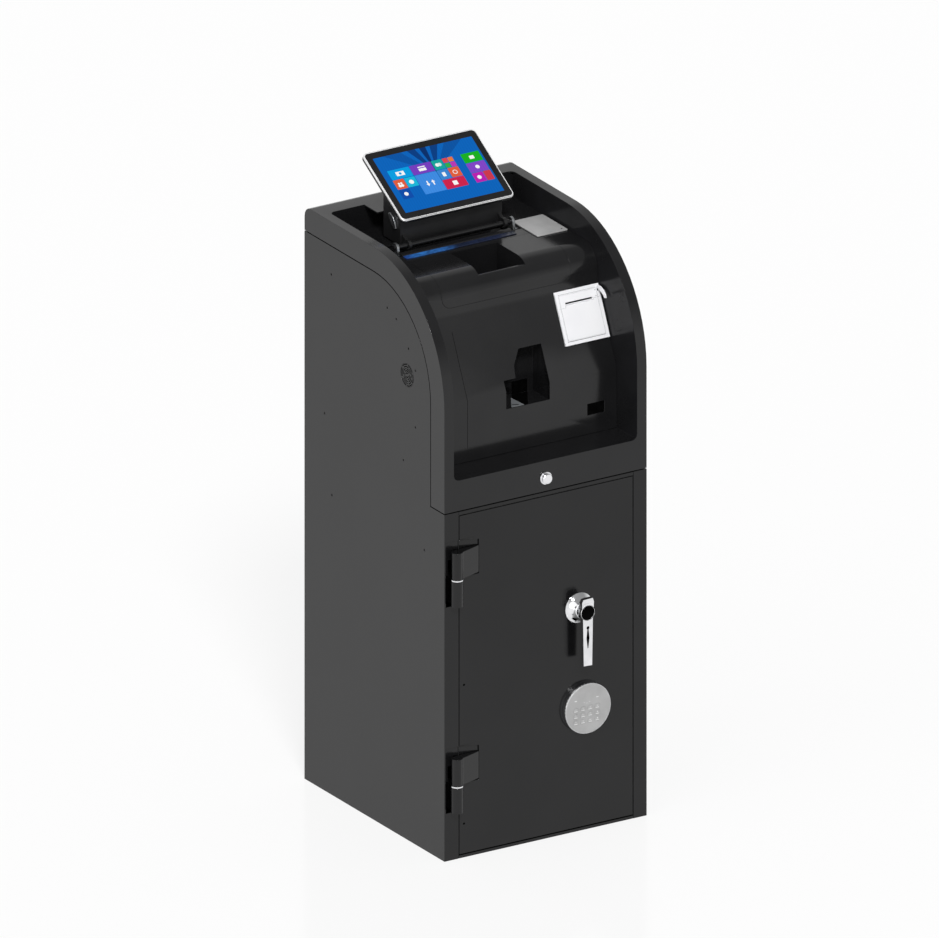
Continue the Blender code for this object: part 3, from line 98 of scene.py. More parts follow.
def dress_surface(tree, surface, place, tint, rough, relief=None):
    """Links one finish to its shader.

    tint: a pattern, the colours at its low and its high end, and where on it they start and end.
    rough: a pattern, then the least and the most roughness.
    relief: a pattern, then its strength and its depth in millimetres.
    A pattern is a socket, or a noise as (millimetres between its features, detail).
    """
    factors = []
    for pattern in (tint[0], rough[0], relief and relief[0]):
        if isinstance(pattern, tuple):
            inputs = {"Vector": place, "Scale": per_metre(pattern[0]), "Detail": pattern[1]}
            pattern = add(tree, "ShaderNodeTexNoise", inputs).outputs["Fac"]
        factors.append(pattern)
    _, dark, light, *stops = tint
    ramp = add(tree, "ShaderNodeValToRGB", {"Fac": factors[0]})
    for stop, code, position in zip(ramp.color_ramp.elements, (dark, light), stops or (0.3, 0.7)):
        stop.position, stop.color = position, linear(code)
    tree.links.new(ramp.outputs["Color"], surface.inputs["Base Color"])
    spread = add(tree, "ShaderNodeMapRange", {"Value": factors[1], "To Min": rough[1], "To Max": rough[2]})
    tree.links.new(spread.outputs["Result"], surface.inputs["Roughness"])
    if relief:
        inputs = {"Height": factors[2], "Strength": relief[1], "Distance": relief[2] * MM}
        tree.links.new(add(tree, "ShaderNodeBump", inputs).outputs["Normal"], surface.inputs["Normal"])


def finish(name, tint, rough, relief=None, **constants):
    """A material whose whole surface is one finish."""
    made, tree, surface, place = base_of(name, **constants)
    dress_surface(tree, surface, place, tint, rough, relief)
    return made


# ---------------------------------------------------------------- materials

# Folded sheet steel under a black polyester powder coat: an even charcoal whose fine nubs, left where
# the powder flowed out, spread each highlight into a soft sheen.
COAT = finish(
    "powder_coated_steel_black_fine",
    ((150, 4.0), "#0c0c0d", "#121213"), ((6, 2.0), 0.14, 0.22), ((2.2, 3.0), 0.05, 0.05), IOR=1.41,
)
# Formed sheet under a smooth black stove enamel: a little clearer in its reflections than the powder
# coat, with the slow ripple that a sprayed film dries to.
SATIN = finish(
    "stove_enamelled_sheet_black_satin",
    ((90, 3.0), "#151516", "#1a1a1b"), ((12, 2.0), 0.12, 0.18), ((7, 2.0), 0.05, 0.05), IOR=1.41,
)
# The enamel on the insides of the hood's cheeks, where the spray gun reaches last: thinner and drier,
# so that it shows what stands beside it only as a faint ghost.
CHEEK = finish(
    "stove_enamelled_sheet_black_dry",
    ((70, 3.0), "#1b1b1c", "#202022"), ((10, 2.0), 0.14, 0.20), ((6, 2.0), 0.04, 0.05), IOR=1.19,
)
# A zinc casting under bright chrome plate. It mirrors the room, with a faint haze of handling.
CHROME = finish(
    "chrome_plated_zinc_polished",
    ((20, 2.0), "#dcdddf", "#ececee"), ((14, 4.0), 0.05, 0.16), ((9, 2.0), 0.06, 0.05), Metallic=1.0,
)
# A die casting under satin nickel: pale warm-grey metal, blasted so that it barely mirrors.
NICKEL = finish(
    "nickel_plated_zinc_bead_blasted",
    ((25, 2.0), "#b0b0b0", "#bababa"), ((3, 2.0), 0.46, 0.58), ((0.9, 2.0), 0.15, 0.06), Metallic=0.35,
)
# Injection-moulded white ABS with a fine spark-eroded grain and an even semi-gloss.
WHITE = finish(
    "abs_white_moulded",
    ((60, 2.0), "#ececef", "#f2f2f4"), ((5, 2.0), 0.30, 0.42), ((0.8, 2.0), 0.10, 0.05), IOR=1.53,
)
# Injection-moulded black ABS: near black, with a fine grain that keeps its gloss down.
BLACK_PLASTIC = finish(
    "abs_black_moulded",
    ((40, 2.0), "#121213", "#19191a"), ((4, 2.0), 0.38, 0.52), ((1.0, 2.0), 0.18, 0.08), IOR=1.45,
)
# Polished black acetal: a deep black with a sharp highlight.
CAP = finish("acetal_black_polished", ((15, 2.0), "#030303", "#070708"), ((6, 2.0), 0.10, 0.20), IOR=1.07)
# Matt black that takes no light. It is the own black of the scanner's window, the reader's lamp and the
# door's screws, and painted shade inside slots, holes, sockets and joints too shallow to go dark, and at the
# outlet's throat.
GAP = finish("matt_black_and_painted_shade", ((10, 2.0), "#030303", "#080808"), ((5, 2.0), 0.8, 0.95), IOR=1.05)
# Mid-grey powder coat on the steel work inside the cabinet, coarser and duller than the outside.
GREY = finish(
    "powder_coated_steel_grey",
    ((120, 3.0), "#6b6e71", "#777a7d"), ((6, 2.0), 0.5, 0.65), ((1.6, 3.0), 0.25, 0.12), IOR=1.45,
)
# Blasted, clear-anodised aluminium: a bright, dry silver edge.
RIM = finish(
    "aluminium_blasted_anodised",
    ((18, 2.0), "#f0f1f2", "#f8f8f9"), ((2.5, 2.0), 0.28, 0.38), ((0.7, 2.0), 0.10, 0.04), Metallic=0.4,
)
# Chemically toughened glass over a black printed border: deep, flat and faintly smeared.
GLASS = finish(
    "glass_black_printed_border", ((30, 2.0), "#141415", "#1b1b1c"), ((22, 4.0), 0.05, 0.13), IOR=1.36
)
# Pale grey pad-printed ink, matt and a little uneven: the keys' digits and signs, and painted highlights in
# the same ink where the keypad shows small glints.
PRINT_AND_GLINTS = finish("pale_print_and_painted_glints", ((1.5, 2.0), "#e6e6e6", "#fafafa"), ((3, 2.0), 0.5, 0.7), IOR=1.45)


def zinc_plated_steel():
    """Passivated zinc plate over steel: a cool grey metal with the broad spangle of its crystals."""
    made, tree, surface, place = base_of("zinc_plated_steel_passivated", Metallic=1.0)
    spangle = add(tree, "ShaderNodeTexVoronoi", {"Vector": place, "Scale": per_metre(9)}).outputs["Color"]
    dress_surface(tree, surface, place, (spangle, "#9a9da0", "#b9bcbe", 0.1, 0.9), ((8, 2.0), 0.28, 0.44))
    return made


def lit_display():
    """A lit liquid-crystal panel. Each patch glows in its own flat colour, behind a fine grid of cells
    drawn 0.9 mm apart, coarser than the real one so that it shows at all."""
    made, tree, surface, place = base_of("liquid_crystal_panel_lit", IOR=1.12, Roughness=0.3)
    ink = add(tree, "ShaderNodeAttribute", attribute_name="ink").outputs["Color"]
    waves = {"Vector": place, "Scale": per_metre(0.9) / 20}
    grid = add(tree, "ShaderNodeTexWave", waves, bands_direction="X").outputs["Fac"]
    shade = add(tree, "ShaderNodeMapRange", {"Value": grid, "To Min": 0.93, "To Max": 1.0}).outputs["Result"]
    glow = add(tree, "ShaderNodeMix", {0: 1.0, 6: ink, 7: shade}, data_type="RGBA", blend_type="MULTIPLY")
    surface.inputs["Base Color"].default_value = linear("#050505")
    tree.links.new(glow.outputs[2], surface.inputs["Emission Color"])
    surface.inputs["Emission Strength"].default_value = 0.95
    return made


def lit_acrylic():
    """A frosted acrylic strip lit blue from its left end, where the lamp sits: the glow is mottled by
    the frosting and fades to the right."""
    made, tree, surface, place = base_of("acrylic_strip_lit_blue", IOR=1.49, Roughness=0.25)
    low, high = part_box("light_bar")
    along = add(tree, "ShaderNodeSeparateXYZ", {"Vector": place}).outputs["X"]
    fade = add(tree, "ShaderNodeMapRange", {"Value": along, "From Min": low.x, "From Max": high.x}).outputs[0]
    ramp = add(tree, "ShaderNodeValToRGB", {"Fac": fade})
    ends = ramp.color_ramp.elements
    ends[0].position, ends[1].position = 0.0, 1.0
    ends[0].color, ends[1].color = linear("#1a3f86"), linear("#0b0d14")
    for position, code in ((0.12, "#2c74c4"), (0.34, "#2b66ae"), (0.48, "#141c30"), (0.8, "#1d2440")):
        ends.new(position).color = linear(code)
    frost = {"Vector": place, "Scale": per_metre(7), "Detail": 3.0}
    frost = add(tree, "ShaderNodeTexNoise", frost).outputs["Fac"]
    haze = {"Value": frost, "From Min": 0.35, "From Max": 0.65, "To Min": 0.45, "To Max": 1.0}
    haze = add(tree, "ShaderNodeMapRange", haze).outputs["Result"]
    glow = {0: 1.0, 6: ramp.outputs["Color"], 7: haze}
    glow = add(tree, "ShaderNodeMix", glow, data_type="RGBA", blend_type="MULTIPLY")
    surface.inputs["Base Color"].default_value = linear("#0b1220")
    tree.links.new(glow.outputs[2], surface.inputs["Emission Color"])
    surface.inputs["Emission Strength"].default_value = 0.85
    return made


def thermal_paper():
    """Thermal paper wound on itself: soft white, with the edges of its turns as fine rings."""
    made, tree, surface, place = base_of("thermal_paper_wound", IOR=1.4)
    low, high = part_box("paper_roll")
    middle = (low + high) / 2
    centring = {"Vector": place, "Location": (0, -middle.y, -middle.z)}
    centred = add(tree, "ShaderNodeMapping", centring).outputs[0]
    waves = {"Vector": centred, "Scale": per_metre(0.8) / 20, "Distortion": 0.4}
    rings = add(tree, "ShaderNodeTexWave", waves, wave_type="RINGS", rings_direction="X").outputs["Fac"]
    dress_surface(tree, surface, place, (rings, "#dedbd3", "#f0eee8", 0.0, 1.0), ((4, 2.0), 0.75, 0.9))
    return made


ZINC = zinc_plated_steel()
DISPLAY = lit_display()
GLOW = lit_acrylic()
PAPER = thermal_paper()


# ---------------------------------------------------------------- shaping


def in_scene(name, data):
    """A new object of this mesh, text, lamp or camera in the scene."""
    made = bpy.data.objects.new(name, data)
    bpy.context.scene.collection.objects.link(made)
    return made


def evaluated(obj, name):
    """A plain mesh of obj with its modifiers applied; obj is removed."""
    graph = bpy.context.evaluated_depsgraph_get()
    mesh = bpy.data.meshes.new_from_object(obj.evaluated_get(graph), depsgraph=graph)
    mesh.name = name
    bpy.data.objects.remove(obj)
    return mesh


def as_mesh(name, work):
    """The mesh of a bmesh, which is freed."""
    mesh = bpy.data.meshes.new(name)
    work.to_mesh(mesh)
    work.free()
    return mesh


def smoothed(mesh, angle=35):
    """Smooth shading, with edges sharper than this many degrees left crisp."""
    mesh.polygons.foreach_set("use_smooth", [True] * len(mesh.polygons))
    mesh.set_sharp_from_angle(angle=radians(angle))
    return mesh


def welded(node):
    """A copy of a CAD node's mesh with its loose triangles joined and its flat faces made whole."""
    mesh = frame["nodes"][node].data
    work = bmesh.new()
    work.from_mesh(mesh)
    bmesh.ops.remove_doubles(work, verts=work.verts, dist=0.002 * MM)
    bmesh.ops.dissolve_limit(work, angle_limit=radians(0.5), verts=work.verts, edges=work.edges)
    return as_mesh(mesh.name, work)


def painted(mesh, surface):
    """The mesh in this one material."""
    mesh.materials.clear()
    mesh.materials.append(surface)
    return mesh


def put(name, mesh, body, surface, stands_for=()):
    """A finished piece on its body, in one material unless the mesh brings its own."""
    if surface is not None:
        painted(mesh, surface)
    made = in_scene(name, mesh)
    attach(made, body)
    if stands_for:
        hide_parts(*stands_for)
    return made


def carved(mesh, cutters, operation="DIFFERENCE"):
    """The mesh with the cutters' shapes taken out, or added on."""
    obj = in_scene("carving", mesh)
    tools = [in_scene(f"cutter{i}", cutter) for i, cutter in enumerate(cutters)]
    for tool in tools:
        boolean = obj.modifiers.new("cut", "BOOLEAN")
        boolean.object = tool
        boolean.operation = operation
        boolean.solver = "EXACT"
        boolean.material_mode = "TRANSFER"
    out = evaluated(obj, mesh.name)
    for tool in tools:
        bpy.data.objects.remove(tool)
    return out


def eased(mesh, edge, angle=40, segments=2, clamp=True):
    """The mesh with its sharp edges rounded to this radius and its flats shaded flat."""
    obj = in_scene("easing", mesh)
    bevel = obj.modifiers.new("edge", "BEVEL")
    bevel.width = edge * MM
    bevel.segments = segments
    bevel.limit_method = "ANGLE"
    bevel.angle_limit = radians(angle)
    bevel.use_clamp_overlap = clamp
    obj = in_scene("weighting", smoothed(evaluated(obj, mesh.name), 50))
    obj.modifiers.new("flats", "WEIGHTED_NORMAL").keep_sharp = True
    return evaluated(obj, mesh.name)


def dressed(node, surface, edge=0.5, cutters=(), angle=40, segments=2, clamp=True):
    """A CAD node remade with eased edges, standing for the node."""
    mesh = painted(welded(node), surface)
    if cutters:
        mesh = carved(mesh, cutters)
    mesh = eased(mesh, edge, angle, segments, clamp)
    return put(f"{node}_dressed", mesh, BODY_OF[node], None, (node,))


def spun(name, origin, axis, profile, turns=48, reach=0.0):
    """A closed ring or disc: profile holds (radius past reach, height) along axis from origin."""
    work = bmesh.new()
    seat = Matrix.Translation(origin) @ Vector(axis).to_track_quat("Z", "Y").to_matrix().to_4x4()
    rings = []
    for radius, height in [(reach + r * MM, h * MM) for r, h in profile]:
        steps = turns if radius else 1
        circle = [(radius * cos(2 * pi * i / turns), radius * sin(2 * pi * i / turns)) for i in range(steps)]
        rings.append([work.verts.new(seat @ Vector((x, y, height))) for x, y in circle])
    closed = len(rings[0]) > 1 and len(rings[-1]) > 1
    for a, b in zip(rings, rings[1:] + rings[:1] if closed else rings[1:]):
        for i in range(turns):
            corners = [a[i % len(a)], a[(i + 1) % len(a)], b[(i + 1) % len(b)], b[i % len(b)]]
            unique = list(dict.fromkeys(corners))
            if len(unique) > 2:
                work.faces.new(unique)
    bmesh.ops.recalc_face_normals(work, faces=work.faces)
    return smoothed(as_mesh(name, work))


def slab(name, outline, depth, seat):
    """A flat-sided plate: outline in the seat's x and y, from its z = 0 to depth."""
    work = bmesh.new()
    near, far = (
        [work.verts.new(seat @ Vector((x * MM, y * MM, z * MM))) for x, y in outline] for z in (0, depth)
    )
    work.faces.new(near)
    work.faces.new(far)
    for corners in zip(near, near[1:] + near[:1], far[1:] + far[:1], far):
        work.faces.new(corners)
    bmesh.ops.recalc_face_normals(work, faces=work.faces)
    return as_mesh(name, work)


def rounded(x0, y0, x1, y1, radius, steps=5):
    """The outline of a rectangle with rounded corners."""
    points = []
    for corner, (x, y) in enumerate(((x1, y1), (x0, y1), (x0, y0), (x1, y0))):
        x += radius if x == x0 else -radius
        y += radius if y == y0 else -radius
        for i in range(steps + 1):
            turn = radians(90 * corner + 90 * i / steps)
            points.append((x + radius * cos(turn), y + radius * sin(turn)))
    return points


def centred(half_wide, half_tall, radius, steps=5):
    """The outline of a rounded rectangle about the origin."""
    return rounded(-half_wide, -half_tall, half_wide, half_tall, radius, steps)


def disc(x, y, radius, steps=28):
    """The outline of a circle."""
    turns = [2 * pi * i / steps for i in range(steps)]
    return [(x + radius * cos(turn), y + radius * sin(turn)) for turn in turns]


def merged(name, meshes):
    """Several meshes as one, each keeping its materials."""
    work = bmesh.new()
    surfaces = []
    for mesh in meshes:
        first = len(work.faces)
        work.from_mesh(mesh)
        work.faces.ensure_lookup_table()
        for face in work.faces[first:]:
            surface = mesh.materials[face.material_index] if mesh.materials else None
            if surface not in surfaces:
                surfaces.append(surface)
            face.material_index = surfaces.index(surface)
    out = as_mesh(name, work)
    for surface in surfaces:
        out.materials.append(surface)
    return out


# ---------------------------------------------------------------- seats


def across(x, y=0.0, z=0.0):
    """A seat whose outline runs back and up, and whose depth runs to the right."""
    return Matrix(((0, 0, 1, x), (1, 0, 0, y), (0, 1, 0, z), (0, 0, 0, 1)))


def upright(y, z=0.0):
    """A seat whose outline runs right and up, and whose depth runs back."""
    return Matrix(((1, 0, 0, 0), (0, 0, 1, y), (0, 1, 0, z), (0, 0, 0, 1)))


def facing(node, upward):
    """The middle and the outward direction of a node's largest flat face that faces about upward."""
    mesh = welded(node)
    flat = max((p for p in mesh.polygons if p.normal.dot(Vector(upward)) > 0.7), key=lambda p: p.area)
    corners = [mesh.vertices[i].co for i in flat.vertices]
    low, high = (Vector(pick(c[i] for c in corners) for i in range(3)) for pick in (min, max))
    return (low + high) / 2, flat.normal.copy()


def seat_on(middle, normal):
    """A seat on a face: x to the right, y up the face, z out of it."""
    up = normal.cross(Vector((1, 0, 0))).normalized()
    return Matrix.Translation(middle) @ Matrix((up.cross(normal), up, normal)).transposed().to_4x4()


def shifted(seat, out, up=0.0):
    """The seat moved this many millimetres out of its face and up it."""
    return seat @ Matrix.Translation((0, up * MM, out * MM))


# ---------------------------------------------------------------- what repeats


def new_tree(name, sizes):
    """A Geometry Nodes tree with these named inputs, its group input's sockets and its group output."""
    tree = bpy.data.node_groups.new(name, "GeometryNodeTree")
    for way in ("OUTPUT", "INPUT"):
        tree.interface.new_socket(name="Geometry", in_out=way, socket_type="NodeSocketGeometry")
    for size, value in sizes.items():
        kind = "NodeSocketMaterial" if value is None else "NodeSocketFloat"
        item = tree.interface.new_socket(name=size, in_out="INPUT", socket_type=kind)
        if value is not None:
            item.default_value = value * MM
    return tree, add(tree, "NodeGroupInput").outputs, add(tree, "NodeGroupOutput")


def grown(name, tree, mesh, values):
    """The plain mesh that a tree grows on this mesh, its inputs set by their identifiers."""
    obj = in_scene(name, mesh)
    grow = obj.modifiers.new("grow", "NODES")
    grow.node_group = tree
    keys = {item.name: item.identifier for item in tree.interface.items_tree if item.in_out == "INPUT"}
    for size, value in values.items():
        grow[keys[size]] = value if isinstance(value, bpy.types.Material) else value * MM
    return evaluated(obj, name)


def turned_outward(tree):
    """The rotation that lays a shape's z along each point's "facing" vector."""
    aim = add(tree, "GeometryNodeInputNamedAttribute", {"Name": "facing"}, data_type="FLOAT_VECTOR")
    return add(tree, "FunctionNodeAlignRotationToVector", {"Vector": aim.outputs[0]}, axis="Z").outputs[0]


def coated(tree, shape, surface):
    """The shape with its instances made real and in its material."""
    real = add(tree, "GeometryNodeRealizeInstances", {"Geometry": shape}).outputs[0]
    return add(tree, "GeometryNodeSetMaterial", {"Geometry": real, "Material": surface}).outputs[0]


def planted(tree, points, shape, surface, **turn):
    """A coated copy of the shape on each point."""
    inputs = {"Points": points, "Instance": shape, **turn}
    return coated(tree, add(tree, "GeometryNodeInstanceOnPoints", inputs).outputs[0], surface)


def screw_tree():
    """A domed, hex-socketed head on each vertex, turned along its "facing" vector."""
    sizes = {"Radius": 2.2, "Height": 1.0, "Head": None, "Socket": None}
    tree, given, out = new_tree("domed_screws", sizes)
    turn = turned_outward(tree)
    shares = (("Radius", 0.62), ("Height", -0.5), ("Radius", 0.42), ("Height", 1.04))
    crown, drop, across_flats, deep = (
        add(tree, "ShaderNodeMath", {0: given[whole], 1: share}, operation="MULTIPLY").outputs[0]
        for whole, share in shares
    )
    head = {"Vertices": 20, "Radius Top": crown, "Radius Bottom": given["Radius"], "Depth": given["Height"]}
    head = add(tree, "GeometryNodeMeshCone", head).outputs["Mesh"]
    sunk = add(tree, "ShaderNodeCombineXYZ", {2: drop}).outputs[0]
    head = add(tree, "GeometryNodeTransform", {"Geometry": head, "Translation": sunk}).outputs[0]
    well = {"Vertices": 6, "Radius": across_flats, "Depth": deep}
    well = add(tree, "GeometryNodeMeshCylinder", well).outputs["Mesh"]
    joined = add(tree, "GeometryNodeJoinGeometry")
    for shape, surface in ((head, "Head"), (well, "Socket")):
        one = planted(tree, given["Geometry"], shape, given[surface], Rotation=turn)
        tree.links.new(one, joined.inputs[0])
    tree.links.new(joined.outputs[0], out.inputs[0])
    return tree


def pin_tree():
    """A round pin on each vertex, along its "facing" vector."""
    tree, given, out = new_tree("round_pins", {"Radius": 1.0, "Length": 4.0, "Surface": None})
    turn = turned_outward(tree)
    pin = {"Vertices": 10, "Radius": given["Radius"], "Depth": given["Length"]}
    pin = add(tree, "GeometryNodeMeshCylinder", pin).outputs["Mesh"]
    tree.links.new(planted(tree, given["Geometry"], pin, given["Surface"], Rotation=turn), out.inputs[0])
    return tree


def slot_tree():
    """A block of the given sizes on each vertex: louvre slots and cooling fins."""
    sizes = {"Wide": 40, "Deep": 6, "Tall": 3, "Surface": None}
    tree, given, out = new_tree("straight_slots", sizes)
    size = {i: given[way] for i, way in enumerate(("Wide", "Deep", "Tall"))}
    size = add(tree, "ShaderNodeCombineXYZ", size).outputs[0]
    bar = add(tree, "GeometryNodeMeshCube", {"Size": size}).outputs["Mesh"]
    tree.links.new(planted(tree, given["Geometry"], bar, given["Surface"]), out.inputs[0])
    return tree


def bead_tree():
    """A round bead along each chain of edges: wires, seams and printed rules."""
    tree, given, out = new_tree("beads_along_paths", {"Radius": 0.3, "Surface": None})
    path = add(tree, "GeometryNodeMeshToCurve", {"Mesh": given["Geometry"]}).outputs[0]
    section = {"Resolution": 8, "Radius": given["Radius"]}
    section = add(tree, "GeometryNodeCurvePrimitiveCircle", section).outputs[0]
    wire = {"Curve": path, "Profile Curve": section, "Fill Caps": True}
    wire = add(tree, "GeometryNodeCurveToMesh", wire).outputs[0]
    tree.links.new(coated(tree, wire, given["Surface"]), out.inputs[0])
    return tree


SCREWS, PINS, SLOTS, BEADS = screw_tree(), pin_tree(), slot_tree(), bead_tree()


def dots(places, direction):
    """A mesh of loose vertices that all face one way."""
    mesh = bpy.data.meshes.new("places")
    mesh.from_pydata([tuple(p) for p in places], [], [])
    facings = mesh.attributes.new("facing", "FLOAT_VECTOR", "POINT")
    facings.data.foreach_set("vector", [c for _ in places for c in direction])
    return mesh


def chains(paths, closed=False):
    """A mesh of edge chains through these points."""
    points, edges = [], []
    for path in paths:
        first, last = len(points), len(points) + len(path) - 1
        points += [tuple(p) for p in path]
        edges += [(i, i + 1) for i in range(first, last)]
        if closed:
            edges.append((last, first))
    mesh = bpy.data.meshes.new("paths")
    mesh.from_pydata(points, edges, [])
    return mesh


def screws(name, places, direction, body, radius=2.2, height=1.0, head=BLACK_PLASTIC):
    """Screw heads half sunk at their places."""
    # The hex sockets are matt black: painted shade in their wells.
    sizes = {"Radius": radius, "Height": height, "Head": head, "Socket": GAP}
    return put(name, smoothed(grown(name, SCREWS, dots(places, direction), sizes), 40), body, None)


# Pins and slots are matt black unless told otherwise; cut into a surface, they leave painted shade on the
# walls of the hole.
def pins(name, places, direction, radius, length, surface=GAP):
    """Round pins centred on their places."""
    sizes = {"Radius": radius, "Length": length, "Surface": surface}
    return grown(name, PINS, dots(places, direction), sizes)


def slots(name, places, wide, deep, tall, surface=GAP):
    """Square-cornered blocks centred on their places."""
    sizes = {"Wide": wide, "Deep": deep, "Tall": tall, "Surface": surface}
    return grown(name, SLOTS, dots(places, (0, 0, 1)), sizes)


def beads(name, paths, radius, surface, closed=False):
    """Round wires along these paths."""
    sizes = {"Radius": radius, "Surface": surface}
    return smoothed(grown(name, BEADS, chains(paths, closed), sizes), 60)


# ---------------------------------------------------------------- cabinet

# The screws of a side panel, as the distance behind its front edge and the height.
SIDE_SCREWS = (
    (400, 1046), (202, 1046), (170, 1034), (127, 989), (102.5, 953), (102.5, 839), (424, 759), (145, 759),
    (398, 603), (71, 603),
)
# The sheet behind a hinge, round its pocket, as x and height; its heights are those of the upper hinge.
POCKET_WALL = (
    (-221.5, 508), (-218, 508), (-218, 573), (-213.9, 573), (-213.9, 603.5), (-203, 603.5), (-203, 623),
    (-191.8, 623), (-191.8, 641), (-221.5, 641),
)


def hinge_lift(which):
    """How far this hinge stands above the upper one: 0 for that one, negative for the lower."""
    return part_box(f"door_hinge_foot_{which}")[0].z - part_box("door_hinge_foot_upper")[0].z


def cabinet_sides():
    """Both side panels, with countersinks for the screws that hold the frames inside them."""
    for node, outward in (("side_left", -1), ("side_right", 1)):
        low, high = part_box(node)
        face = low.x if outward < 0 else high.x
        wells = [(face, low.y + y * MM, z * MM) for y, z in SIDE_SCREWS]
        # The countersinks are cut in matt black: painted shade round the screw heads.
        dressed(node, COAT, 0.2, (pins("countersinks", wells, (1, 0, 0), 2.4, 1.6),), clamp=False)
        heads = [(face - outward * 0.75 * MM, y, z) for _, y, z in wells]
        screws(f"{node}_screws", heads, (outward, 0, 0), "cabinet", 2.2, 1.0)


def speaker_grille():
    """The speaker's cover, cut with broken rings of slots."""
    first_ring, ring_gap, bridge, twist = 4.4, 4.1, 3.2, 0.11
    low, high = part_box("speaker")
    middle = (low + high) / 2
    arcs = []
    for ring in range(5):
        reach, count, steps = (first_ring + ring_gap * ring) * MM, 2 + ring, 5 + 2 * ring
        span = 2 * pi / count - bridge * MM / reach
        for i in range(count):
            start = 2 * pi * (i / count + twist * ring)
            turns = [start + span * step / steps for step in range(steps + 1)]
            arcs.append([(low.x, middle.y + reach * cos(t), middle.z + reach * sin(t)) for t in turns])
    # The grille's slots are cut in matt black: painted shade inside them.
    dressed("speaker", COAT, 0.3, (beads("grille_slots", arcs, 0.95, GAP),))


def cabinet_back():
    """The rear panel with its louvres."""
    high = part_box("back_panel")[1]
    louvres = [(side * 95 * MM, high.y, (120 + 12 * i) * MM) for i in range(9) for side in (-1, 1)]
    # The louvres are cut in matt black: painted shade inside them.
    dressed("back_panel", COAT, 0.5, (slots("back_louvres", louvres, 90, 2.4, 4),))


def fan_guard():
    """The wire guard over the fan: four rings on four spokes."""
    wire, sunk, points = 0.8, 1.0, 40
    start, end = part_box("fan_frame")
    hub = Vector(((start.x + end.x) / 2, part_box("back_panel")[1].y - sunk * MM, (start.z + end.z) / 2))

    def at(radius, turn):
        return hub + Vector((radius * MM * cos(turn), 0, radius * MM * sin(turn)))

    rings = [[at(radius, 2 * pi * i / points) for i in range(points)] for radius in (9, 17, 25, 33)]
    spokes = [[at(radius, pi / 4 + pi / 2 * i) for radius in (9, 37.5)] for i in range(4)]
    rings = beads("guard_rings", rings, wire, ZINC, closed=True)
    guard = merged("fan_guard", [rings, beads("guard_spokes", spokes, wire, ZINC)])
    put("fan_guard", smoothed(guard, 60), "cabinet", None)


def back_fittings():
    """The rear panel's screws, and the mains socket with its blades."""
    low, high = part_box("back_panel")
    rows = [low.z + 30 * MM + i * (high.z - low.z - 60 * MM) / 6 for i in range(7)]
    places = [(x, high.y + 0.3 * MM, z) for z in rows for x in (low.x + 14 * MM, high.x - 14 * MM)]
    screws("back_panel_screws", places, (0, 1, 0), "cabinet", 3.0, 1.4)
    dressed("power_inlet", BLACK_PLASTIC, 0.4)
    low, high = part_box("power_inlet")
    middle = (low + high) / 2
    blades = ((-7, -1), (0, 3), (7, -1))
    blades = [(middle.x + dx * MM, high.y - 9 * MM, middle.z + dz * MM) for dx, dz in blades]
    blades = pins("power_inlet_pins", blades, (0, 1, 0), 1.3, 14, ZINC)
    put("power_inlet_pins", blades, "cabinet", None)


def cabinet_hinges():
    """The lift-off hinges' feet, each with its pocket's wall and a bright washer under the door's knuckle."""
    ring = [(10.0, -2.5), (12.1, -2.5), (12.2, -2.1), (12.2, -0.6), (12.1, -0.15), (10.0, -0.15)]
    for which in ("upper", "lower"):
        dressed(f"door_hinge_foot_{which}", COAT, 0.6, angle=50)
        foot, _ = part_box(f"door_hinge_foot_{which}")
        seat = upright(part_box("door_panel")[0].y + 2.0 * MM, hinge_lift(which))
        plate = eased(slab("plate", POCKET_WALL, 1.2, seat), 0.3)
        put(f"hinge_pocket_wall_{which}", plate, "cabinet", COAT)
        axis = (foot.x + 12.2 * MM, foot.y + 12.2 * MM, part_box(f"door_hinge_knuckle_{which}")[0].z)
        washer = spun("washer", axis, (0, 0, 1), ring, 56)
        put(f"hinge_washer_{which}", washer, "cabinet", CHROME)


def cabinet_inside():
    """The safe's steelwork and the machines that stand in it and in the head."""
    for node in ("base_plate", "safe_roof"):
        dressed(node, COAT, 0.5)
    for node in ("cassette_shelf", "hood_lock_strike"):
        dressed(node, ZINC, 0.4)
    # The recycler's and the controller's vents and the supply's holes below are cut in matt black: painted
    # shade inside them.
    low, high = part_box("note_recycler")
    rows = [(low.x + 0.2 * MM, (low.y + high.y) / 2, low.z + (60 + 9 * i) * MM) for i in range(14)]
    vents = [[(side * x, y, z) for x, y, z in rows] for side in (1, -1)]
    dressed("note_recycler", COAT, 0.8, [slots("recycler_vents", row, 2, 90, 3) for row in vents])
    low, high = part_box("controller_box")
    fins = [(low.x + 0.2 * MM, low.y + (22 + 8 * i) * MM, (low.z + high.z) / 2) for i in range(24)]
    dressed("controller_box", GREY, 0.8, (slots("controller_vents", fins, 2, 3, 110),))
    low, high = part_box("power_supply")
    steps = [(12 + 7 * i, 14 + 7 * j) for i in range(13) for j in range(18)]
    grid = [(low.x + x * MM, low.y + y * MM, high.z) for x, y in steps]
    dressed("power_supply", ZINC, 0.6, (pins("supply_holes", grid, (0, 0, 1), 2.2, 2.0),))
    low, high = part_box("cash_cassette")
    dressed("cash_cassette", GREY, 1.2, segments=3)
    grip = ((-45, 0), (-45, -14), (-40, -18), (40, -18), (45, -14), (45, 0))
    bail = [(x * MM, low.y + y * MM, (low.z + high.z) / 2) for x, y in grip]
    put("cassette_handle", beads("cassette_handle", [bail], 3.2, BLACK_PLASTIC), "cabinet", None)
    dressed("fan_frame", BLACK_PLASTIC, 0.6)
    dressed("fan_rotor", BLACK_PLASTIC, 0.3)


# ---------------------------------------------------------------- door, handle and keypad

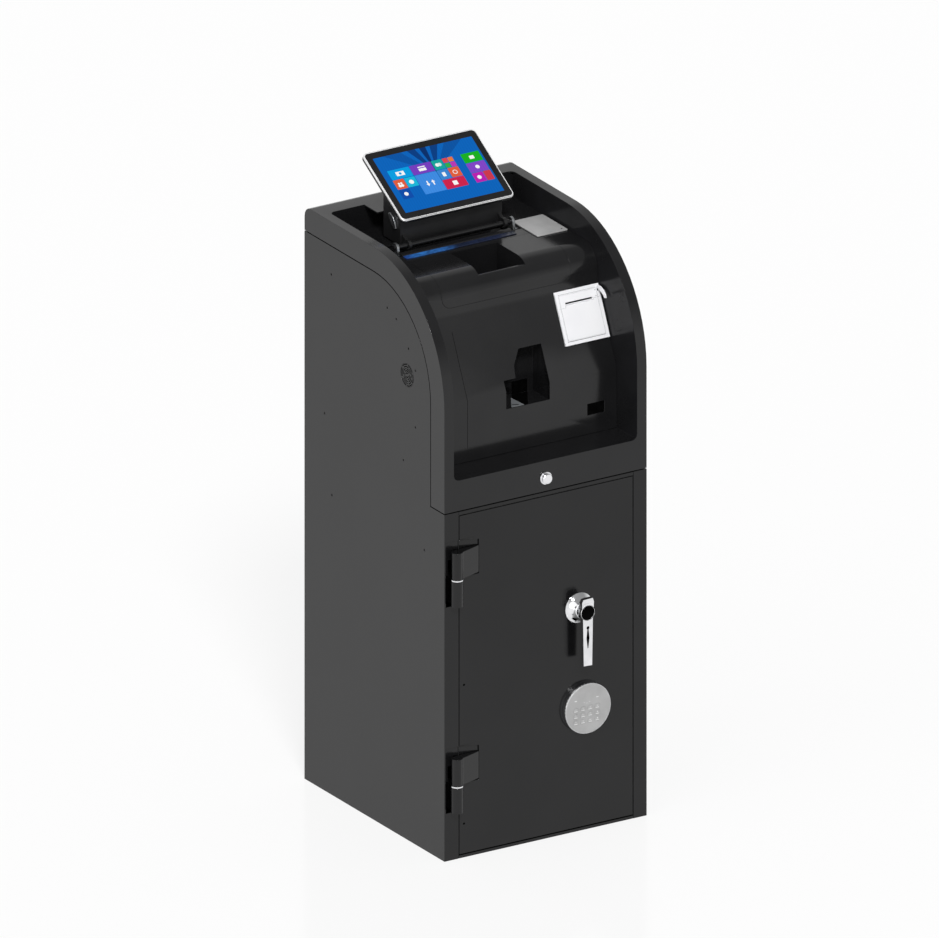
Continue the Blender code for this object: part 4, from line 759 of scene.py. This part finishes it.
# The drooping brow over a hinge's pocket and the pocket's floor, as x and the upper hinge's heights.
POCKET_BROW = (
    (-188.9, 640.4), (-188.9, 639.2), (-172, 637.2), (-138, 632.5), (-127.6, 625), (-126.2, 625),
    (-126.2, 640.4),
)
POCKET_FLOOR = ((-189.0, 622.6), (-126.8, 622.6), (-126.8, 641), (-189.0, 641))
# The lever's face about its spindle: the crown above, the blade of the keyhole, the line of the ground end.
LEVER_CROWN = ((-12.6, 2), (12.6, 2), (13.2, 21), (10.8, 28), (-9.6, 27.2), (-12.6, 21.5))
KEYWAY = ((-1.2, -32), (1.2, -32), (3.3, -51), (0.7, -71), (-0.7, -71), (-3.3, -51))
LEVER_END = ((-30, -104.6), (30, -108), (30, -140), (-30, -140))
SPINDLE_RING = (
    (14.1, -1.4), (14.3, -0.4), (14.5, -0.1), (14.8, -0.15), (15.2, -0.7), (15.3, -1.6), (15.3, -6.0),
    (14.1, -6.0),
)
SPINDLE_CAP = ((0, -0.4), (10.6, -0.45), (13.1, -0.7), (14.0, -1.3), (14.05, -2.4), (0, -2.4))


def safe_door():
    """The door plate on its liner, with its screws, its seal and the pockets and leaves of its hinges."""
    low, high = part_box("door_panel")
    panel = painted(welded("door_panel"), COAT)
    for which in ("upper", "lower"):
        seat = upright(low.y, hinge_lift(which))
        brow = slab("filler", POCKET_BROW, (high.y - low.y) / MM, seat)
        panel = carved(panel, (painted(brow, COAT),), "UNION")
        plate = eased(slab("plate", POCKET_FLOOR, 1.2, shifted(seat, 3.0)), 0.3)
        put(f"door_pocket_floor_{which}", plate, "door", COAT)
    panel = eased(panel, 0.8, clamp=False)
    put("door_panel_dressed", panel, "door", None, ("door_panel",))
    dressed("door_liner", ZINC, 0.8)
    places = [(low.x + 10 * MM, low.y, z * MM) for z in (347, 68)]
    screws("door_screws", places, (0, -1, 0), "door", 2.8, 0.8, GAP)
    left, right, head, foot = low.x / MM - 1.8, high.x / MM + 1.8, high.z / MM + 1.6, low.z / MM - 1.6
    outer = [(left, foot), (left, head), (right, head), (right, foot)]
    inner = [(right - 0.9, foot), (right - 0.9, head - 1), (left + 1.2, head - 1), (left + 1.2, foot)]
    seal = eased(slab("seal", outer + inner, 2.5, upright(low.y + 1.4 * MM)), 0.2)
    put("door_seal", seal, "cabinet", BLACK_PLASTIC)
    for which in ("upper", "lower"):
        dressed(f"door_hinge_knuckle_{which}", COAT, 0.8, angle=50, segments=3)


def rosette_notch(middle, front):
    """The cutter of the slotted hollow low on the rosette's left flank, set square to the flank there."""
    reach, turn, deep = 23, radians(236), 3
    before = Vector((middle.x + reach * MM * cos(turn), front - 50 * MM, middle.z + reach * MM * sin(turn)))
    _, place, slope, _ = frame["nodes"]["handle_rosette"].ray_cast(before, Vector((0, 1, 0)))
    side = slope.cross(Vector((-sin(turn), 0, cos(turn)))).normalized()
    seat = Matrix((side.cross(slope), side, slope)).transposed().to_4x4()
    seat = Matrix.Translation(place - deep * MM * slope) @ seat
    # The hollow is cut in matt black: painted shade on its walls.
    return painted(slab("notch", centred(6.5, 2.8, 2.7, 6), 8, seat), GAP)


def door_handle():
    """The chromed rosette and lever, with the black cap on the spindle and the keyhole below it."""
    low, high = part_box("handle_rosette")
    middle = (low + high) / 2
    dressed("handle_rosette", CHROME, 0.6, (rosette_notch(middle, low.y),), angle=50, segments=3)
    axis = Vector((middle.x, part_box("handle_lever")[0].y, middle.z))
    face = Matrix.Translation(axis) @ Matrix.Rotation(radians(90), 4, "X")
    crown = slab("crown", LEVER_CROWN, 9, shifted(face, -9.3))
    lever = carved(painted(welded("handle_lever"), CHROME), (painted(crown, CHROME),), "UNION")
    below = shifted(face, -2.5)
    cutters = (
        painted(slab("end", LEVER_END, 80, shifted(face, -40)), CHROME),
        painted(slab("cap_well", disc(0, 0, 15.4, 48), 5, below), CHROME),
        # The keyhole is cut in matt black: painted shade inside it.
        painted(slab("keyhole_eye", disc(0, -30, 3.2), 5, below), GAP),
        painted(slab("keyway", KEYWAY, 5, below), GAP),
    )
    lever = eased(carved(lever, cutters), 0.8, 30, 3)
    put("handle_lever_dressed", lever, "handle", None, ("handle_lever",))
    ring = spun("boss", axis, (0, -1, 0), SPINDLE_RING, 64)
    put("handle_spindle_ring", ring, "handle", CHROME)
    put("handle_spindle_cap", spun("cap", axis, (0, -1, 0), SPINDLE_CAP, 64), "handle", CAP)


def bolt_work():
    """The bar that the bolts share."""
    dressed("bolt_bar", ZINC, 0.5)


def lettering(text, tall, seat):
    """Text of this height on a seat, as a thin printed mesh."""
    thick, capital = 0.04, 0.7  # a capital's share of the font's size
    curve = bpy.data.curves.new("lettering", "FONT")
    curve.body = text
    curve.size = tall * MM / capital
    curve.align_x = curve.align_y = "CENTER"
    curve.extrude = thick * MM
    mesh = evaluated(in_scene("lettering", curve), "lettering")
    mesh.transform(shifted(seat, thick))
    return mesh


def keypad():
    """The round lock keypad: a blasted disc on a polished neck, with flat keys under pale print, and pale
    bars, marks and dots painted on as highlights where the keys and the disc glint.
    """
    film, proud = 0.08, 0.15
    forward = Vector((0, -1, 0))
    low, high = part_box("keypad_housing")
    middle = (low + high) / 2
    radius = (high.x - low.x) / 2
    centre = (middle.x, low.y, middle.z)
    around = ((-0.6, 3.2), (2, 3.2), (2, 13), (-0.6, 13))
    neck = painted(spun("neck", centre, (0, 1, 0), around, 72, radius), CHROME)
    dressed("keypad_housing", NICKEL, 0.3, (neck,))
    face = low.y - proud * MM
    for number in range(1, 13):
        node, body = f"key_{number:02d}", f"key_button_{number:02d}"
        key = welded(node)
        for corner in key.vertices:
            corner.co.y = max(corner.co.y, face)
        put(f"{node}_dressed", eased(key, 0.05), body, NICKEL, (node,))
        start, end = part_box(node)
        seat = seat_on(Vector(((start.x + end.x) / 2, face, (start.z + end.z) / 2)), forward)
        above = shifted(seat, 0, 0.9)
        if number <= 10:
            mark = lettering(str(number % 10), 2.8, above)
        else:
            mark = slab("mark", centred(1.8, 0.4, 0.3) if number == 11 else disc(0, 0, 1.2), film, above)
        # A pale bar under each key's print: a painted highlight for the small glint on each key.
        glint_bar = slab("glint_bar", rounded(-3.8, -3.3, 3.8, -2.1, 0.4), film, seat)
        print_and_glint = merged("mark", [painted(mark, PRINT_AND_GLINTS), painted(glint_bar, PRINT_AND_GLINTS)])
        put(f"key_mark_{number:02d}", print_and_glint, body, None)
    # Two pale marks above the top keys and three pale dots, called lamps: painted highlights for the glints
    # on the disc.
    marks = []
    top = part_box("key_01")[1].z + 14 * MM
    for node in ("key_01", "key_04"):
        start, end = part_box(node)
        seat = seat_on(Vector(((start.x + end.x) / 2, low.y, top)), forward)
        marks.append(slab("mark", centred(2.6, 0.7, 0.6), film, seat))
    for dx, dz in ((-9, 6), (-3, 8), (3, 6)):
        seat = seat_on(Vector((middle.x + dx * MM, low.y, top - dz * MM)), forward)
        marks.append(slab("lamp", disc(0, 0, 0.8, 16), film, seat))
    put("keypad_marks", merged("keypad_marks", [painted(m, PRINT_AND_GLINTS) for m in marks]), "door", None)
    edge = ((-1.5, 0.5), (-0.5, 0.5), (-0.05, 1.2), (-0.05, 3.1), (-1.5, 3.1))
    put("keypad_rim", spun("keypad_rim", centre, (0, 1, 0), edge, 96, radius), "door", CHROME)


# ---------------------------------------------------------------- hood

# The trough under the tilting shaft and the lip behind the light bar, as y and the height over the deck.
TROUGH = (
    (42.6, -0.2), (42.6, -16), (50, -24), (94, -24), (101.4, -16), (101.4, -0.2),
    (100.2, -0.2), (100.2, -15.5), (93.5, -22.8), (50.5, -22.8), (43.8, -15.5), (43.8, -0.2),
)
LIP = ((37.2, 0.05), (38.4, 1.8), (44, 4.2), (48.6, 4.6), (48.6, 3.4), (44.6, 2.8), (43.4, 0.05))
# The outlet's black sill and its pale guide, as x and y on the pocket's floor.
SILL = ((4.4, -122), (13, -107.2), (47, -107.2), (15.5, -160), (7, -163.6))
GUIDE = ((2.6, -122), (1.2, -122.6), (-20.6, -159.4), (-20, -161), (3.8, -165), (5, -163.8))
LOCK_COLLAR = ((9.6, -3.2), (12.2, -3.2), (12.9, -2.4), (13.1, -1.2), (13.1, -0.1), (9.6, -0.1))
READER_LAMP = ((0, 1.5), (1.6, 1.3), (2.0, 0.8), (2.0, 0), (0, 0))
RELEASE_LEVER = (
    (0, 0), (0, -6), (-14, -9), (-24, -13), (-29, -18), (-33, -17), (-31, -11), (-25, -5), (-14, 0),
)


def hood_shell():
    """The curved hood, the dry enamel inside its cheeks, its lock and its hinge."""
    shell = dressed("hood_shell", SATIN, 0.3, clamp=False).data
    shell.materials.append(CHEEK)
    low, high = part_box("hood_shell")
    reach = high.x - 6 * MM
    for flat in shell.polygons:
        if abs(flat.normal.x) > 0.9 and abs(flat.center.x) < reach and flat.normal.x * flat.center.x < 0:
            flat.material_index = 1
    front = low.y
    low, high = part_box("hood_lock")
    dressed("hood_lock", CHROME, 0.5)
    centre = (low.x + (high.z - low.z) / 2, front, (low.z + high.z) / 2)
    put("hood_lock_collar", spun("collar", centre, (0, 1, 0), LOCK_COLLAR, 48), "hood", CHROME)
    dressed("hood_hinge_cabinet_leaf", COAT, 0.4)
    dressed("hood_hinge_hood_leaf", COAT, 0.4)


def fascia():
    """The sloping fascia with the seam of its lower panel, the outlet's pocket and the scanner's window."""
    dressed("fascia_panel", SATIN, 0.5)
    dressed("outlet_tray", SATIN, 0.4)
    dressed("code_scanner", GAP, 0.4)
    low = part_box("fascia_panel")[0]
    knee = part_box("hood_shell")[1].z - 270 * MM
    lean, rise, x = 67 / 147, 121, -127.5 * MM
    seam = [(x, low.y, low.z + 27 * MM), (x, low.y, knee), (x, low.y + rise * MM * lean, knee + rise * MM)]
    # The seam is a matt black bead: painted shade in the groove between the panels.
    put("fascia_seam", beads("fascia_seam", [seam], 0.35, GAP), "hood", None)


def outlet():
    """The pocket's fittings: a closed shutter, a dark throat and sill that notes come out over, a guide."""
    low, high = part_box("outlet_tray")
    wall = 2 * MM
    ground = Matrix.Translation((0, 0, low.z + wall))
    back = upright(high.y - wall, low.z)
    for name, outline, thick, seat, surface, slot in (
        ("outlet_shutter", rounded(-36, 28.6, 48, 93, 1.5), -1.2, back, SATIN, "black_satin_sheet"),
        # The throat is a matt black sheet: painted shade in the opening at the back of the pocket.
        ("outlet_throat", rounded(13, 2.6, 47, 28, 1.5), -0.5, back, GAP, None),
        ("outlet_sill", SILL, 0.5, ground, GAP, None),
        ("outlet_guide", GUIDE, 1.6, ground, GREY, None),
    ):
        put(name, eased(slab(name, outline, thick, seat), 0.2), "hood", surface)
    # The guide's slit is a matt black bead: painted shade in it.
    slit = [ground @ Vector((x * MM, y * MM, 1.2 * MM)) for x, y in ((-15, -152.6), (-4, -158.6))]
    put("outlet_guide_slit", beads("outlet_guide_slit", [slit], 1.3, GAP), "hood", None)


def shaft_well():
    """The sheet trough that closes the deck under the tablet's shaft, with its lip behind the light bar."""
    start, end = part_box("tilt_shaft")
    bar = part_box("light_bar")
    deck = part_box("fascia_panel")[1].z
    for name, outline, left, right in (
        ("shaft_trough", TROUGH, start.x + 10 * MM, end.x - 7 * MM),
        ("shaft_lip", LIP, bar[0].x, bar[1].x),
    ):
        sheet = slab(name, outline, (right - left) / MM, across(left, z=deck))
        put(name, eased(sheet, 0.4, 25, 3), "hood", SATIN)


def note_inlet():
    """The inlet's moulding, the bare reader plate with its lamp, and the lit bar."""
    dressed("inlet_hatch", SATIN, 0.6)
    dressed("reader_plate", NICKEL, 0.4, segments=3)
    low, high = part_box("reader_plate")
    place = (high.x - 9 * MM, low.y + 9 * MM, high.z - 1.2 * MM)
    put("reader_lamp", spun("reader_lamp", place, (0, 0, 1), READER_LAMP, 24), "hood", GAP)
    dressed("light_bar", GLOW, 0.4, segments=3)


def printer():
    """The white receipt printer: frame, hinged cover with paper slot and inset line, roll and release tab."""
    dressed("printer_frame", WHITE, 0.6, segments=3)
    dressed("printer_body", BLACK_PLASTIC, 0.5)
    middle, normal = facing("printer_cover", (0, -0.91, 0.41))
    seat = seat_on(middle, normal)
    low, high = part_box("printer_cover")
    half = (high.x - low.x) / 2 / MM
    tall = hypot(high.z - low.z, high.y - low.y) / 2 / MM
    mouth = slab("mouth", rounded(-30, tall - 24, 30, tall - 22.4, 0.7), -3.0, shifted(seat, 0.5))
    dressed("printer_cover", WHITE, 0.5, (mouth,), segments=3)

    def on_cover(points, out=0.0):
        return [seat @ Vector((x * MM, y * MM, out * MM)) for x, y in points]

    wide, high_up = half - 3.2, tall - 3.2
    inset = on_cover([(-wide, -high_up), (wide, -high_up), (wide, high_up), (-wide, high_up)])
    line = beads("printer_cover_line", [inset], 0.18, GREY, closed=True)
    put("printer_cover_line", line, "printer_lid", None)
    slit = tall - 23.2
    left = on_cover([(-half, slit - 4), (-31, slit - 4), (-31, slit)])
    right = on_cover([(31, slit), (31, slit + 3), (half, slit + 3)])
    put("printer_cover_joint", beads("printer_cover_joint", [left, right], 0.22, GREY), "printer_lid", None)
    spots = on_cover([(half - 6, tall - 6), (half - 6, tall - 17)], -0.3)
    put("printer_cover_pins", pins("printer_cover_pins", spots, normal, 0.9, 1.0, GREY), "printer_lid", None)
    low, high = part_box("printer_release_tab")
    lever = slab("tab", RELEASE_LEVER, (high.x - low.x) / MM, across(low.x, high.y, high.z))
    lever = eased(lever, 0.7, 25, 3)
    put("printer_release_lever", lever, "release_tab", WHITE, ("printer_release_tab",))
    dressed("paper_roll", PAPER, 0.4)


# ---------------------------------------------------------------- touch screen

# The stay on the cradle's left side, as y and height.
CRADLE_LUG = (
    (92, 1136), (98, 1134), (106, 1140), (116, 1152), (118, 1160), (112, 1162), (103, 1158), (95, 1148),
)
SKY, DEEP_BLUE, ORANGE, PURPLE, INK = "#00a3e8", "#0466c0", "#e8603a", "#7a3fc4", "#ffffff"
# The menu's tiles: column, row, columns across, rows down and colour.
TILES = {
    "notes": (0, 0, 2, 1, SKY), "card": (2, 0, 2, 1, PURPLE), "coins": (4, 0, 1, 1, "#12a8a0"),
    "people": (0, 1, 1, 1, ORANGE), "globe": (1, 1, 1, 1, "#19bde0"), "arrows": (2, 1, 2, 2, "#3f8fe8"),
    "page": (4, 1, 1, 1, "#3b8ad8"), "clock": (5, 1, 1, 1, ORANGE), "receipt": (4, 2, 2, 1, "#d4224e"),
    "lock": (6.7, 0, 1.7, 1, "#17b51f"), "cup": (6.7, 1, 1.7, 1, "#8547cc"),
    "more": (6.7, 2, 1, 1, "#c01fb4"), "bare": (7.7, 2, 0.7, 1, "#d43a4e"), "cloud": (0, 2, 1, 1, "#0a4fae"),
}


def touch_screen():
    """The tablet on its tilting cradle: silver rim and back band, black border and a lit menu."""
    for node, surface, edge, segments in (
        ("tablet_housing", BLACK_PLASTIC, 0.8, 3),
        ("tablet_glass", GLASS, 0.4, 3),
        ("tablet_cradle", BLACK_PLASTIC, 1.0, 3),
        ("tilt_shaft", SATIN, 0.4, 2),
        ("tilt_bracket_left", ZINC, 0.5, 2),
        ("tilt_bracket_right", ZINC, 0.5, 2),
    ):
        dressed(node, surface, edge, segments=segments)
    seat = seat_on(*facing("tablet_glass", (0, -0.5, 0.86)))
    wide, tall, inner = 246.6 / 2, 167.4 / 2, 2.2
    hole = centred(wide - inner, tall - inner, 7.6, 8)
    for name, outline, base, depth, edge, under, through in (
        ("tablet_rim", centred(wide, tall, 10, 8), -1.3, 1.35, 0.5, -3, 6),
        ("tablet_band", centred(wide + 0.4, tall + 1.3, 10.4, 8), -4.2, 3.4, 0.6, -6, 8),
    ):
        ring = painted(slab(name, outline, depth, shifted(seat, base)), RIM)
        opening = painted(slab("opening", hole, through, shifted(seat, under)), RIM)
        put(name, eased(carved(ring, (opening,)), edge, 40, 3), "tablet_stand", RIM)
    put("screen_menu", menu(seat), "tablet_stand", None)
    lug = slab("lug", CRADLE_LUG, 3.5, across(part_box("tablet_cradle")[0].x - 3.6 * MM))
    put("cradle_side_lug", eased(lug, 0.8, 25, 3), "tablet_stand", ZINC)


def menu(seat):
    """A cash machine's menu: coloured tiles with plain pictures of notes, coins, a card and arrows."""
    half_wide, half_tall, unit, gap = 108.5, 68, 24.0, 1.2
    first_left, first_top = 12 - half_wide, half_tall - 34
    background, rays, tiles, pictures, details = range(5)
    patches = []

    def patch(outline, code, layer):
        patches.append((slab("patch", outline, 0.01, shifted(seat, 0.02 + 0.02 * layer)), code))

    def tile(column, row, across, down, code):
        left, top = first_left + column * unit, first_top - row * unit
        right, bottom = left + across * unit, top - down * unit
        patch(rounded(left + gap / 2, bottom + gap / 2, right - gap / 2, top - gap / 2, 1.2, 3), code, tiles)
        return (left + right) / 2, (top + bottom) / 2

    patch(centred(half_wide, half_tall, 0.3, 1), DEEP_BLUE, background)
    for i, code in enumerate(("#0456a8", "#033f86", "#02306e", "#033f86", "#0456a8")):
        turn = radians(-52 + 26 * i)
        left, right = (62 * sin(turn + s) / cos(turn + s) * 0.8 for s in (-0.14, 0.14))
        patch([(0, half_tall - 62), (right, half_tall), (left, half_tall)], code, rays)
    at = {name: tile(*placing) for name, placing in TILES.items()}
    for i, code in enumerate(("#e5484d", "#f07b3c", "#34b24a", "#c337b8")):
        x, y = first_left + (5.25 + i % 2 / 2) * unit, first_top - (0.25 + i // 2 / 2) * unit
        half = unit / 4 - 0.7
        patch(rounded(x - half, y - half, x + half, y + half, 0.8, 2), code, tiles)
    halves = {"notes": (9, 5), "card": (8, 5.5), "page": (3.5, 5), "receipt": (5, 5), "lock": (5, 4)}
    for name, (w, h) in halves.items():
        x, y = at[name]
        patch(rounded(x - w, y - h, x + w, y + h, 1.0, 3), INK, pictures)
    patch(disc(*at["notes"], 3.0), SKY, details)
    x, y = at["card"]
    patch(rounded(x - 8, y + 1, x + 8, y + 3, 0.1, 1), PURPLE, details)
    for dx in (-2.6, 2.6):
        x, y = at["coins"]
        patch(disc(x + dx, y, 4), INK if dx < 0 else "#d8f2f0", pictures)
        x, y = at["people"]
        patch(disc(x + dx, y + 2, 2.2), INK, pictures)
        patch(disc(x + dx, y - 3.6, 3.2), INK, pictures)
    for name, radius in (("globe", 5), ("clock", 5), ("cup", 4.4), ("cloud", 4.4), ("more", 4.4)):
        patch(disc(*at[name], radius), INK, pictures)
        if name == "clock":
            patch(disc(*at[name], 3.6), ORANGE, details)
    x, y = at["arrows"]
    for side in (-1, 1):
        arrow = ((-4, 1), (0, 6.5), (4, 1), (1.4, 1), (1.4, -6), (-1.4, -6), (-1.4, 1))
        patch([(x + dx + side * 6, y + side * dy) for dx, dy in arrow], INK, pictures)
    mesh = painted(merged("screen_menu", [part for part, _ in patches]), DISPLAY)
    ink = mesh.attributes.new("ink", "FLOAT_COLOR", "CORNER")
    corners = [(sum(len(face.vertices) for face in part.polygons), code) for part, code in patches]
    ink.data.foreach_set("color", [c for count, code in corners for c in linear(code) * count])
    return mesh


# ---------------------------------------------------------------- stage


def light_paths(tree):
    """Whether a ray comes from the camera, off gloss or through glass."""
    rays = add(tree, "ShaderNodeLightPath").outputs
    return [rays[f"Is {kind} Ray"] for kind in ("Camera", "Glossy", "Transmission")]


def floor():
    """A pale waxed floor that keeps the soft shadow, lifted towards white for the eye and in reflections."""
    far, lift = 30, 0.79
    mesh = bpy.data.meshes.new("floor")
    mesh.from_pydata([(-far, -far, 0), (far, -far, 0), (far, far, 0), (-far, far, 0)], [], [(0, 1, 2, 3)])
    in_scene("floor", mesh)
    pale = bpy.data.materials.new("floor_pale_lacquer")
    pale.use_nodes = True
    tree = pale.node_tree
    tree.nodes.clear()
    eye, gloss, beyond = light_paths(tree)
    seen = add(tree, "ShaderNodeMath", {0: eye, 1: gloss}, operation="MAXIMUM").outputs[0]
    seen = add(tree, "ShaderNodeMath", {0: seen, 1: beyond}, operation="MAXIMUM").outputs[0]
    seen = add(tree, "ShaderNodeMath", {0: seen, 1: lift}, operation="MULTIPLY").outputs[0]
    glow = add(tree, "ShaderNodeEmission", {"Color": (1, 1, 1, 1), "Strength": seen}).outputs[0]
    matt = add(tree, "ShaderNodeBsdfDiffuse", {"Color": linear("#6e6e6e")}).outputs[0]
    wax = add(tree, "ShaderNodeBsdfGlossy", {"Color": linear("#383838"), "Roughness": 0.12}).outputs[0]
    both = add(tree, "ShaderNodeAddShader", {0: matt, 1: glow}).outputs[0]
    both = add(tree, "ShaderNodeAddShader", {0: both, 1: wax}).outputs[0]
    add(tree, "ShaderNodeOutputMaterial", {"Surface": both})
    mesh.materials.append(pale)


def lamps():
    """A key from the upper left and a broad, weak fill from the left."""
    for name, aim, strength, degrees in (
        ("key", (0.30, 0.66, -0.69), 2.25, 12),
        ("fill", (0.85, 0.25, -0.45), 0.7, 60),
    ):
        lamp = bpy.data.lights.new(name, "SUN")
        lamp.energy = strength
        lamp.angle = radians(degrees)
        in_scene(name, lamp).rotation_euler = Vector(aim).to_track_quat("-Z", "Y").to_euler()


def room():
    """An even room: white to the eye, and to gloss white at the horizon, greyer above, with one soft box."""
    even, overhead, box_light = 0.48, 0.35, 0.3
    world = bpy.data.worlds.new("room")
    bpy.context.scene.world = world
    world.use_nodes = True
    tree = world.node_tree
    tree.nodes.clear()
    eye, gloss, beyond = light_paths(tree)
    way = add(tree, "ShaderNodeTexCoord").outputs["Generated"]
    up = add(tree, "ShaderNodeSeparateXYZ", {0: way}).outputs[2]
    near = {0: way, 1: (0.49, 0.615, 0.617)}
    near = add(tree, "ShaderNodeVectorMath", near, operation="DOT_PRODUCT").outputs["Value"]
    fade = {"Value": up, "From Min": 0.08, "From Max": 0.5, "To Min": 1.0, "To Max": overhead}
    ceiling = add(tree, "ShaderNodeMapRange", fade).outputs[0]
    fade = {"Value": near, "From Min": 0.90, "From Max": 0.985, "To Min": 0.0, "To Max": box_light}
    softbox = add(tree, "ShaderNodeMapRange", fade).outputs[0]
    mirrored = add(tree, "ShaderNodeMath", {0: ceiling, 1: softbox}, operation="ADD").outputs[0]
    shiny = add(tree, "ShaderNodeMath", {0: gloss, 1: beyond}, operation="MAXIMUM").outputs[0]
    light = add(tree, "ShaderNodeMix", {0: shiny, 2: even, 3: mirrored}).outputs[0]
    light = add(tree, "ShaderNodeMix", {0: eye, 2: light, 3: 1.0}).outputs[0]
    sky = add(tree, "ShaderNodeBackground", {"Color": (1, 1, 1, 1), "Strength": light}).outputs[0]
    add(tree, "ShaderNodeOutputWorld", {"Surface": sky})


def camera():
    """A parallel view from the front left, a little above."""
    aim, distance, width = Vector((0, 0.0215, 0.6523)), 4, 1.7541
    lens = bpy.data.cameras.new("camera")
    lens.type = "ORTHO"
    lens.ortho_scale = width
    lens.clip_end = 60
    lens.dof.use_dof = False
    back = Vector((-0.4908, -0.7888, 0.3700)).normalized()
    holder = in_scene("camera", lens)
    holder.rotation_euler = back.to_track_quat("Z", "Y").to_euler()
    holder.location = aim + distance * back
    bpy.context.scene.camera = holder
    bpy.context.scene.view_settings.view_transform = "Standard"


for step in (
    camera,
    cabinet_sides, speaker_grille, cabinet_back, fan_guard, back_fittings, cabinet_hinges, cabinet_inside,
    safe_door, door_handle, bolt_work, keypad,
    hood_shell, fascia, outlet, shaft_well, note_inlet, printer, touch_screen,
    floor, lamps, room,
):
    step()
# Every CAD node is stood for by a piece above, apart from the hood's hinge pin, which is shown as it is.
for node in frame["nodes"].values():
    painted(node.data, ZINC)
